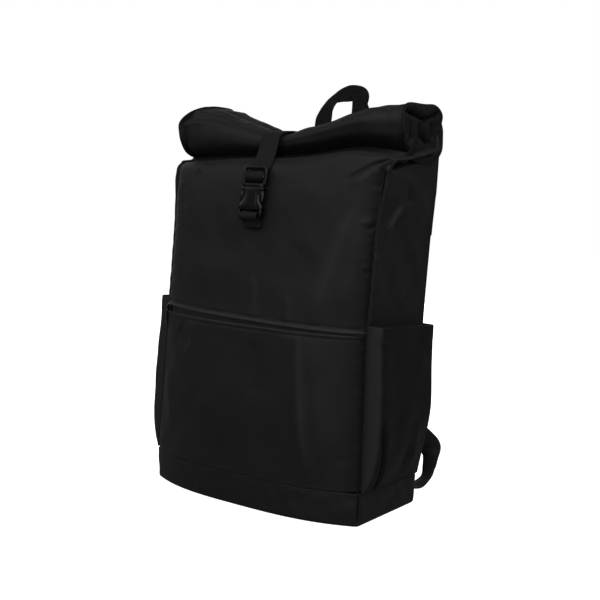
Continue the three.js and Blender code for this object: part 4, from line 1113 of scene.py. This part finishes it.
# the frame's and the loop's half width, low and high end, corner, bar and thickness; a bar's half width,
# height and bar
plug = {"frame": (14.3, 7.4, 27.0, 3.4, 3.6, 4.2),
        "bars": (("plugBar", 13.5, 17.3, 4.2), ("plugSill", 13.5, 7.2, 4.4)),
        # height, half width and half depth
        "tongue": ((-6, 8.4, 1.5), (-5.5, 9.4, 1.9), (0, 9.8, 2.0), (6.6, 10, 2.0), (7, 9.6, 1.7)),
        "lever": ((-12.2, 1.8, 1.4), (-11.4, 3.0, 2.2), (-7, 3.9, 2.6), (-2, 3.5, 2.6), (1.6, 2.2, 2.1),
                  (3.2, 1.2, 1.4)),
        "leverX": 12.0}
socket = {"loop": (14.4, -27.4, -18.0, 3.6, 3.2, 6.6),
          "body": ((-20.2, 14.6, 3.0), (-19.6, 15.8, 3.7), (-16.5, 16.0, 3.9), (-13.5, 14.4, 3.9),
                   (-9.5, 11.2, 3.9),
                   (-4, 10.6, 3.9), (0.5, 13.4, 3.9), (3.2, 15.7, 3.9), (4.4, 15.8, 3.7), (5.0, 14.8, 3.0)),
          "face": ((-17.0, 7.2, 0.35), (-16.4, 8.2, 0.55), (-10, 7.4, 0.6), (0, 7.4, 0.6), (2.4, 8.6, 0.55),
                   (3.0, 8.0, 0.35)), "faceY": -3.75}


def fromBuckle(points):
    # turned about the x axis by the lean, then moved to the buckle's place
    points = np.asarray(points, float)
    c, s = math.cos(math.radians(buckle["lean"])), math.sin(math.radians(buckle["lean"]))
    x, y, z = points[..., 0], points[..., 1], points[..., 2]
    return np.stack([x, y * c + z * s, z * c - y * s], -1) + buckle["place"]


def frameRings(halfWide, low, high, corner, bar, thick):
    # a closed bar: a squared oval carried round a rectangle with rounded corners, in the plane of x and z
    quarter = np.linspace(0, math.pi / 2, 8)
    right, top, foot = halfWide - corner, high - corner, low + corner
    arcs = [np.stack([x + corner * np.cos(quarter + k * math.pi / 2), 0 * quarter,
                      z + corner * np.sin(quarter + k * math.pi / 2)], -1)
            for k, (x, z) in enumerate(((right, top), (-right, top), (-right, foot), (right, foot)))]
    path, deep = np.concatenate(arcs), np.array([0, 1.0, 0])
    outward = np.cross(deep, loopRun(path))
    ring = oval(bar, thick, 0.5, 18)
    return path[:, None] + outward[:, None] * ring[:, :1] + deep * ring[:, 1:]


def acrossBar(halfWide, z, bar, thick, steps=5):
    # a straight bar from side to side
    x = np.linspace(-halfWide, halfWide, steps)
    return np.insert(oval(thick, bar, 0.5, 18), 0, 0, axis=1) + np.stack([x, 0 * x, np.full(steps, z)],
                                                                         -1)[:, None]


def outlineRings(table, power=0.3, sides=40, steps=44):
    # a moulded body: squared ovals whose half width and half depth follow smooth tables up its height
    stops = throughAll(table, np.linspace(0, len(table) - 1, steps))
    rings = stops[:, None, 1:] * oval(2, 2, power, sides)
    return np.concatenate([rings, np.broadcast_to(stops[:, None, :1], (steps, sides, 1))], -1)


def moulded(name, rings, closed=False):
    return loft(name, fromBuckle(rings), plastic, closed)


def makePlug(values):
    # a ladder frame over a tongue, with a springy lever at each side that shows in the socket's notch
    parts = [moulded("plugFrame", frameRings(*values["frame"]), closed=True)]
    parts += [moulded(name, acrossBar(*sizes, buckle["plugThick"])) for name, *sizes in values["bars"]]
    parts.append(moulded("plugTongue", outlineRings(values["tongue"])))
    lever = outlineRings(values["lever"], power=0.55, sides=24)
    parts += [moulded("plugLever", lever + (side * values["leverX"], 0, 0)) for side in (-1, 1)]
    return joined("buckle_clip", parts)


def makeSocket(values):
    # a flat body drawn in by a curved notch at each side, with a loop below it for the webbing tab
    return joined("buckle_body", [
        moulded("socketBody", outlineRings(values["body"])),
        moulded("socketLoop", frameRings(*values["loop"]), closed=True),
        moulded("socketFace", outlineRings(values["face"], power=0.6) + (0, values["faceY"], 0))])


settle(makePlug(plug), "plastic", "buckle_plug")
settle(makeSocket(socket), "plastic", "buckle_socket")
print("buckle made")

# webbing; the closure's hang is y and z between the roll and the buckle
webThick, webWide = 1.6, 25
closure = {"lift": 0.25, "onSlope": (0.25, 0.45, 0.65, 0.85), "onRoll": (15, 176, 10.0), "points": 150,
           "hang": ((-54.5, 397), (-58.5, 388), (-63.5, 378.5)), "barClear": 0.3, "slotHalf": 2,
           "pressed": (13, 20)}


def closurePath(values):
    # over the upper back's slope and the roll, lifted by half its thickness, straight down, then in and out
    # of the plug's slots from behind
    rise, degrees = np.array(values["onSlope"]), np.arange(*values["onRoll"])

    def lifted(curve, at, step, press):
        run = unit(curve(at + step) - curve(at - step))
        up = np.stack([0 * at, run[:, 2], -run[:, 1]], -1)
        return curve(at) + up * (values["lift"] + webThick / 2 - press)[:, None]

    slope = lifted(lambda t: slopeAt(np.zeros(t.shape), t), rise, 0.01, 0 * rise)
    start, over = values["pressed"]
    pressed = rollCloth["strapDent"][0] * ease((degrees - start) / over)
    onRoll = lifted(lambda d: rollShape(rollAt(np.zeros(d.shape), d), d - roll["start"]), degrees, 0.5,
                    pressed)
    bar, half = buckle["plugThick"] / 2 + values["barClear"] + webThick / 2, values["slotHalf"]
    slots = [(0, -way * step * bar, middle - step * half)
             for middle, way in ((buckle["upperSlot"], 1), (buckle["lowerSlot"], -1)) for step in (-1, 0, 1)]
    points = np.concatenate([slope, onRoll, [(0, y, z) for y, z in values["hang"]], fromBuckle(slots)])
    points[:, 0] = buckle["place"][0]
    return line(points, values["points"])


def strapPiece(name, path, across, node, wide=webWide, thick=webThick, finish=webbing):
    # a flat woven band carried along a path
    return settle(loft(name, carried(path, across, bandRing(wide, thick)), finish), "webbing", node)


strapPiece("closure_webbing", closurePath(closure), (1, 0, 0), "closure_strap")

tab = {"low": 311, "rise": 7, "clear": 1.4, "step": 1.6, "points": 90}


def tabPath(values):
    # doubled round the socket's loop, both ends lying on the front cloth
    bar = buckle["socketThick"] / 2 + seamGap + webThick / 2

    def onFront(z, layer):
        y = frontAt(0.0, rowOf(sack["frontZ"], z))[1]
        return (buckle["place"][0],
                y - seamGap - webThick / 2 - layer * (webThick + seamGap) - values["clear"], z)

    low, high = values["low"], values["low"] + values["rise"]
    middle, below = buckle["tabSlot"], buckle["tabSlot"] - values["step"]
    atBuckle = fromBuckle([(0, -bar, buckle["bottom"] - seamGap), (0, -bar, below), (0, 0, middle),
                           (0, bar, below),
                           (0, bar, buckle["bottom"])])
    points = [onFront(low, 1), onFront(high, 1.5), *atBuckle, onFront(high, 0), onFront(low, 0)]
    return line(points, values["points"])


strapPiece("tab_webbing", tabPath(tab), (1, 0, 0), "buckle_tab")

# where the handle's middle runs, and which way its outer edge lies there: it twists on its way over the top
handle = {"wide": 22, "thick": 2.4, "points": 170, "path": (
    (27, 83.5, 351, 1, 0, 0), (27, 80.8, 366, 1, 0, 0), (27, 83.5, 392, 1, 0.1, 0),
    (27.5, 85.5, 425, 0.9, 0.43, 0),
    (26.9, 88, 450.6, 0.71, 0.7, 0.03), (22.4, 93, 462.5, 0.2, 0.9, 0.2), (16.5, 100, 472, -0.01, 0.67, 0.74),
    (1, 105, 474.2, -0.05, 0.33, 0.94), (-11.2, 105.5, 472.3, -0.3, 0.5, 0.8),
    (-20.3, 103, 467, -0.62, 0.62, 0.48),
    (-23.6, 97.5, 460.6, -0.9, 0.4, 0.12), (-25.9, 92, 450.5, -0.98, 0.11, -0.1),
    (-25.2, 87, 440, -0.99, -0.11, -0.03),
    (-26, 84.5, 415, -1, 0, 0), (-27, 83.5, 392, -1, 0, 0), (-27, 80.8, 366, -1, 0, 0),
    (-27, 83.5, 351, -1, 0, 0))}
route = line(handle["path"], handle["points"])
# the handle takes the darker webbing, a painted shade
strapPiece("handle_webbing", route[:, :3], route[:, 3:], "grab_handle", handle["wide"], handle["thick"],
           shadedHandleWeb)
print("webbing made")

# padded pieces: the back panel and the shoulder straps, whose path has x, y, z, width and thickness
backPad = {"pad": 9, "edge": 5, "crown": 3, "slab": 4.5, "columns": 70, "rows": 84, "top": 364, "swell": 2.0,
           "fill": 0.8}
shoulder = {"path": ((45, 90, 344, 58, 9), (46, 97, 318, 60, 11), (52, 113, 268, 60, 11),
                     (62, 122, 215, 58, 11),
                     (76, 121, 168, 54, 10), (91, 113, 126, 42, 8)), "across": (1, 0, 0.25), "points": 70,
            "slim": 1.5,
            "swell": 1.5, "fill": 0.7}
# settings of the filling: size of the even cells, frames, and the cloth's own
filling = {"voxel": 0.0045, "frames": 20, "skin": {
    "quality": 4, "mass": 0.25, "tension_stiffness": 18, "compression_stiffness": 18,
    "bending_stiffness": 0.6,
    "use_pressure": True, "uniform_pressure_force": 4.0}}


def puffed(piece, cap):
    # a pad filled from inside: even cells, Cloth under pressure with no weight, each point's movement capped
    bpy.ops.object.select_all(action="DESELECT")
    piece.select_set(True)
    bpy.context.view_layer.objects.active = piece
    cells = piece.modifiers.new("evenCells", "REMESH")
    cells.mode, cells.voxel_size = "VOXEL", filling["voxel"]
    bpy.ops.object.modifier_apply(modifier=cells.name)
    start, end = np.zeros((2, len(piece.data.vertices) * 3), np.float32)
    piece.data.vertices.foreach_get("co", start)
    skin = piece.modifiers.new("skin", "CLOTH")
    for key, value in filling["skin"].items():
        setattr(skin.settings, key, value)
    skin.settings.effector_weights.gravity = 0
    for step in range(1, filling["frames"] + 1):
        scene.frame_set(step)
    done = piece.evaluated_get(bpy.context.evaluated_depsgraph_get())
    done.data.vertices.foreach_get("co", end)
    piece.modifiers.remove(skin)
    scene.frame_set(1)
    move = (end - start).reshape(-1, 3)
    far = np.linalg.norm(move, axis=1, keepdims=True)
    move *= np.minimum(1, cap * mm / np.maximum(far, 1e-9))
    piece.data.vertices.foreach_set("co", (start.reshape(-1, 3) + move).ravel())
    piece.data.polygons.foreach_set("use_smooth", np.ones(len(piece.data.polygons), dtype=bool))
    piece.data.update()
    softer = piece.modifiers.new("softer", "SUBSURF")
    softer.levels = softer.render_levels = 1


def backFace(values):
    # a crowned slab that thins to its edges: thickness = mix(edge, pad + crown * (1 - s2), fullness)
    low, high = (rowOf(sack["backZ"], z) for z in (baseSeam + seamGap, values["top"] - seamGap))
    v, u = np.meshgrid(np.linspace(0, 1, values["rows"]), np.linspace(0, 1, values["columns"]), indexing="ij")
    row, s = mix(low, high, v), 2 * u - 1
    full = (1 - s ** 8) * (1 - (2 * v - 1) ** 12)
    thick = mix(values["edge"], values["pad"] + values["crown"] * (1 - s ** 2), full)
    half, y, z = (through(sack[key], row) for key in ("half", "backY", "backZ"))
    return np.stack([half * s, y + thick, z], -1)


backPiece = clothShell("back_pad", backFace(backPad), backPad["slab"], padCloth, flip=True)
puffed(backPiece, backPad["swell"])
settle(backPiece, "cloth", "back_panel")

shoulderRoute = line(shoulder["path"], shoulder["points"])
sections = np.stack([oval(*size, 0.55, 40) for size in shoulderRoute[:, 3:] - shoulder["slim"]])
for word, side in bothSides:
    flipX = np.array([side, 1, 1])
    rings = carried(shoulderRoute[:, :3] * flipX, shoulder["across"] * flipX, sections)
    pad = loft(word + "_shoulder_pad", rings, padCloth)
    puffed(pad, shoulder["swell"])
    settle(pad, "cloth", word + "_shoulder_strap")
print("pads made")

# ladder locks and the adjusting webbing below the shoulder straps; the turn is which face of the lock, how
# far off it and how high; the path is where the webbing's middle runs and which way its width lies there
lock = {"frame": (14.9, -9.8, 7.6, 2.6, 3.2, 3.6), "bar": (14.5, -0.8, 4.6, 3.6), "thick": 3.6, "high": 9,
        "turn": ((1, 3, -34), (1, 1, -20), (1, 0, -10), (1, 0, -7.2), (0, 0, -5.6), (-1, 0, -7.2),
                 (-1, 0, -10),
                 (-1, 0.5, -15))}
adjuster = {"points": 180, "steps": 28, "path": (
    (104, 101, 90, 0.87, 0, 0.5), (113, 103, 78, 0.57, 0, 0.82), (124, 114, 65, 0.34, 0, 0.94),
    (130.6, 119.5, 57, 0.78, 0.2, 0.55), (131.2, 121, 50, 0.95, 0.25, 0.15),
    (132.2, 120, 42.1, 0.96, -0.23, 0.16),
    (132.7, 117, 30.7, 0.9, -0.42, 0.09), (133.4, 111, 21.5, 0.76, -0.64, 0.09),
    (132, 99, 15.7, 0.64, -0.76, 0.02),
    (129.5, 85, 13.5, 0.75, -0.6, 0), (124, 65.9, 16, 1, 0, 0))}


def lockAxes():
    # across, thickness and height directions of the lock, and its middle, from the shoulder strap's lower end
    stops = throughAll(np.array(shoulder["path"])[:, :3], np.linspace(0, len(shoulder["path"]) - 1, 13))
    up = unit(stops[-2] - stops[-1])
    across = np.array(shoulder["across"])
    across = unit(across - up * (across @ up))
    return np.array([across, np.cross(up, across), up]), stops[-1] - up * (lock["high"] + seamGap)


axes, lockMiddle = lockAxes()
clear = lock["thick"] / 2 + seamGap + webThick / 2
head = np.array([(0, face * (clear + off), z) for face, off, z in lock["turn"]]) @ axes + lockMiddle
head = np.concatenate([head, np.broadcast_to(axes[0], head.shape)], 1)
tail = throughAll(adjuster["path"], np.linspace(0, len(adjuster["path"]) - 1, adjuster["steps"]))
route = line(np.concatenate([head, tail]), adjuster["points"])
for word, side in bothSides:
    flipX = np.array([side, 1, 1])
    parts = [loft("lockFrame", (frameRings(*lock["frame"]) @ axes + lockMiddle) * flipX, plastic,
                  closed=True),
             loft("lockBar", (acrossBar(*lock["bar"]) @ axes + lockMiddle) * flipX, plastic)]
    settle(joined(word + "_strap_lock", parts), "plastic", word + "_ladder_lock")
    # the adjusting webbing takes the paler webbing, painted light
    strapPiece(word + "_adjuster_webbing", route[:, :3] * flipX, route[:, 3:] * flipX, word + "_adjuster",
               finish=litAdjusterWeb)
print("adjusters made")

# sewing: short stitches along the seams; a stitch's profile is its half length and radius as shares
stitch = {"long": 2.7, "apart": 3.7, "thick": 0.62, "sides": 6, "sink": 0.25, "near": 0.6, "lift": 0.1,
          "profile": ((-1, 0), (-0.8, 0.75), (0, 1), (0.8, 0.75), (1, 0))}


def stitches(name, path, normal, values=stitch):
    # one small capsule per stitch, laid along the path and half sunk into the cloth
    run = lengthAlong(path)
    at = np.arange(values["apart"] / 2, run[-1], values["apart"])
    along = unit(pickAt(at + values["near"], run, path) - pickAt(at - values["near"], run, path))
    over = unit(np.cross(along, unit(pickAt(at, run, normal))))
    axes = np.stack([along, over, np.cross(over, along)], 1)
    t, radius = np.array(values["profile"], float).T[..., None]
    angle = np.linspace(0, 2 * math.pi, values["sides"], endpoint=False)
    r = radius * values["thick"] / 2
    shape = np.broadcast_arrays(t * values["long"] / 2, r * np.cos(angle),
                                r * np.sin(angle) - values["sink"] * values["thick"] * t ** 2)
    local = np.stack(shape, -1).reshape(-1, 3)
    points = pickAt(at, run, path)[:, None] + local @ axes
    cells = gridQuads(len(t), values["sides"], wrapped=True)
    quads = (cells[None] + (np.arange(len(at)) * len(local))[:, None, None]).reshape(-1, 4)
    return makePiece(name, points.reshape(-1, 3), quads, np.tile(local[:, 1::-1], (len(at), 1)), threadYarn,
                     merge=True)


def stitchRow(name, face, distance, fromEnd, span=(0.02, 0.98)):
    # a row of stitches across a panel, at a distance from its low or high edge
    up = cellLay(face)[:, 0, 1]
    row = np.interp(distance if fromEnd == "low" else up[-1] - distance, up, np.arange(len(up)))
    j = int(row)
    shown = slice(*(int(share * face.shape[1]) for share in span))
    normal = faceNormals(face)[j, shown]
    return settle(stitches(name, mix(face[j], face[j + 1], row - j)[shown] + stitch["lift"] * normal, normal),
                  "cloth")


weltSeam, footSeam, baseRow, hemSeam = 4.8, 3.2, 4, 14.4
stitchRow("front_welt_stitches", upperFace, weltSeam, "low")
stitchRow("pocket_welt_stitches", lowerFace, weltSeam, "high")
stitchRow("pocket_foot_stitches", lowerFace, footSeam, "low")
loop = baseLoop(baseSeam - baseRow, -0.05)
settle(stitches("base_stitches", loop, np.pad(loopOutward(loop), ((0, 0), (0, 1)))), "cloth")
for word, side in bothSides:
    hemFace = sidePocketFace(sidePocket, side)[0][:, ::side]
    stitchRow(word + "_hem_stitches", hemFace, hemSeam, "high", (0.06, 0.96))
print("sewing made")

# studio: a pale floor that shows white to the camera, a white surround and soft lamps with their places and
# powers
studio = {"floor": 6.0, "below": -0.0004, "ambient": 0.03, "glow": 1.0, "bounce": (0.25, 0.25),
          "paper": (0.93, 0.93),
          "rough": 0.9, "shine": 0.1, "aim": (0, 0, 0.25), "size": 1.2, "lamps": (
    ("leftLamp", (-1.65, -0.95, 1.35), 9), ("keyLamp", (-0.58, -1.58, 1.66), 10),
    ("frontLamp", (0, -1.99, 1.18), 5),
    ("eyeLamp", (0.9, -1.93, 0.82), 14.5), ("topLamp", (0.53, -0.76, 2.24), 15),
    ("highLamp", (1.35, -0.78, 1.81), 16),
    ("rightLamp", (1.99, 0, 1.18), 9), ("cornerLamp", (1.46, 1.23, 1.35), 3.5),
    ("backLamp", (-0.9, 2.0, 0.5), 15),
    ("farLamp", (-1.9, 1.1, 0.8), 6))}


def makeStudio(values):
    # the floor glows and is pale for the camera only, so it hardly lights the bag from below
    white, h = (1, 1, 1, 1), values["floor"]
    floorMesh = bpy.data.meshes.new("studio_floor")
    corners = [(x * h, y * h, values["below"]) for x, y in ((-1, -1), (1, -1), (1, 1), (-1, 1))]
    floorMesh.from_pydata(corners, [], [(0, 1, 2, 3)])
    floor = bpy.data.objects.new("studio_floor", floorMesh)
    scene.collection.objects.link(floor)
    paper = bpy.data.materials.new("paleFloor")
    paper.use_nodes = True
    tree = paper.node_tree
    inputs = tree.nodes["Principled BSDF"].inputs
    seen = put(tree, "LightPath").outputs["Is Camera Ray"]
    tree.links.new(mixColour(tree, seen, values["bounce"], values["paper"]), inputs["Base Color"])
    tree.links.new(ramp(tree, seen, 0, 1, 0.0, values["glow"]), inputs["Emission Strength"])
    inputs["Emission Color"].default_value = white
    inputs["Roughness"].default_value = values["rough"]
    inputs["Specular IOR Level"].default_value = values["shine"]
    floorMesh.materials.append(paper)
    scene.world = bpy.data.worlds.new("whiteRoom")
    scene.world.use_nodes = True
    tree = scene.world.node_tree
    sky = tree.nodes["Background"].inputs
    sky["Color"].default_value = white
    seen = put(tree, "LightPath").outputs["Is Camera Ray"]
    tree.links.new(ramp(tree, seen, 0, 1, values["ambient"], 1.0), sky["Strength"])
    for name, place, power in values["lamps"]:
        data = bpy.data.lights.new(name, "AREA")
        data.shape, data.size, data.energy = "SQUARE", values["size"], power
        lamp = bpy.data.objects.new(name, data)
        scene.collection.objects.link(lamp)
        lamp.location = place
        lamp.rotation_euler = (Vector(values["aim"]) - Vector(place)).to_track_quat("-Z", "Y").to_euler()


makeStudio(studio)
print("studio made")
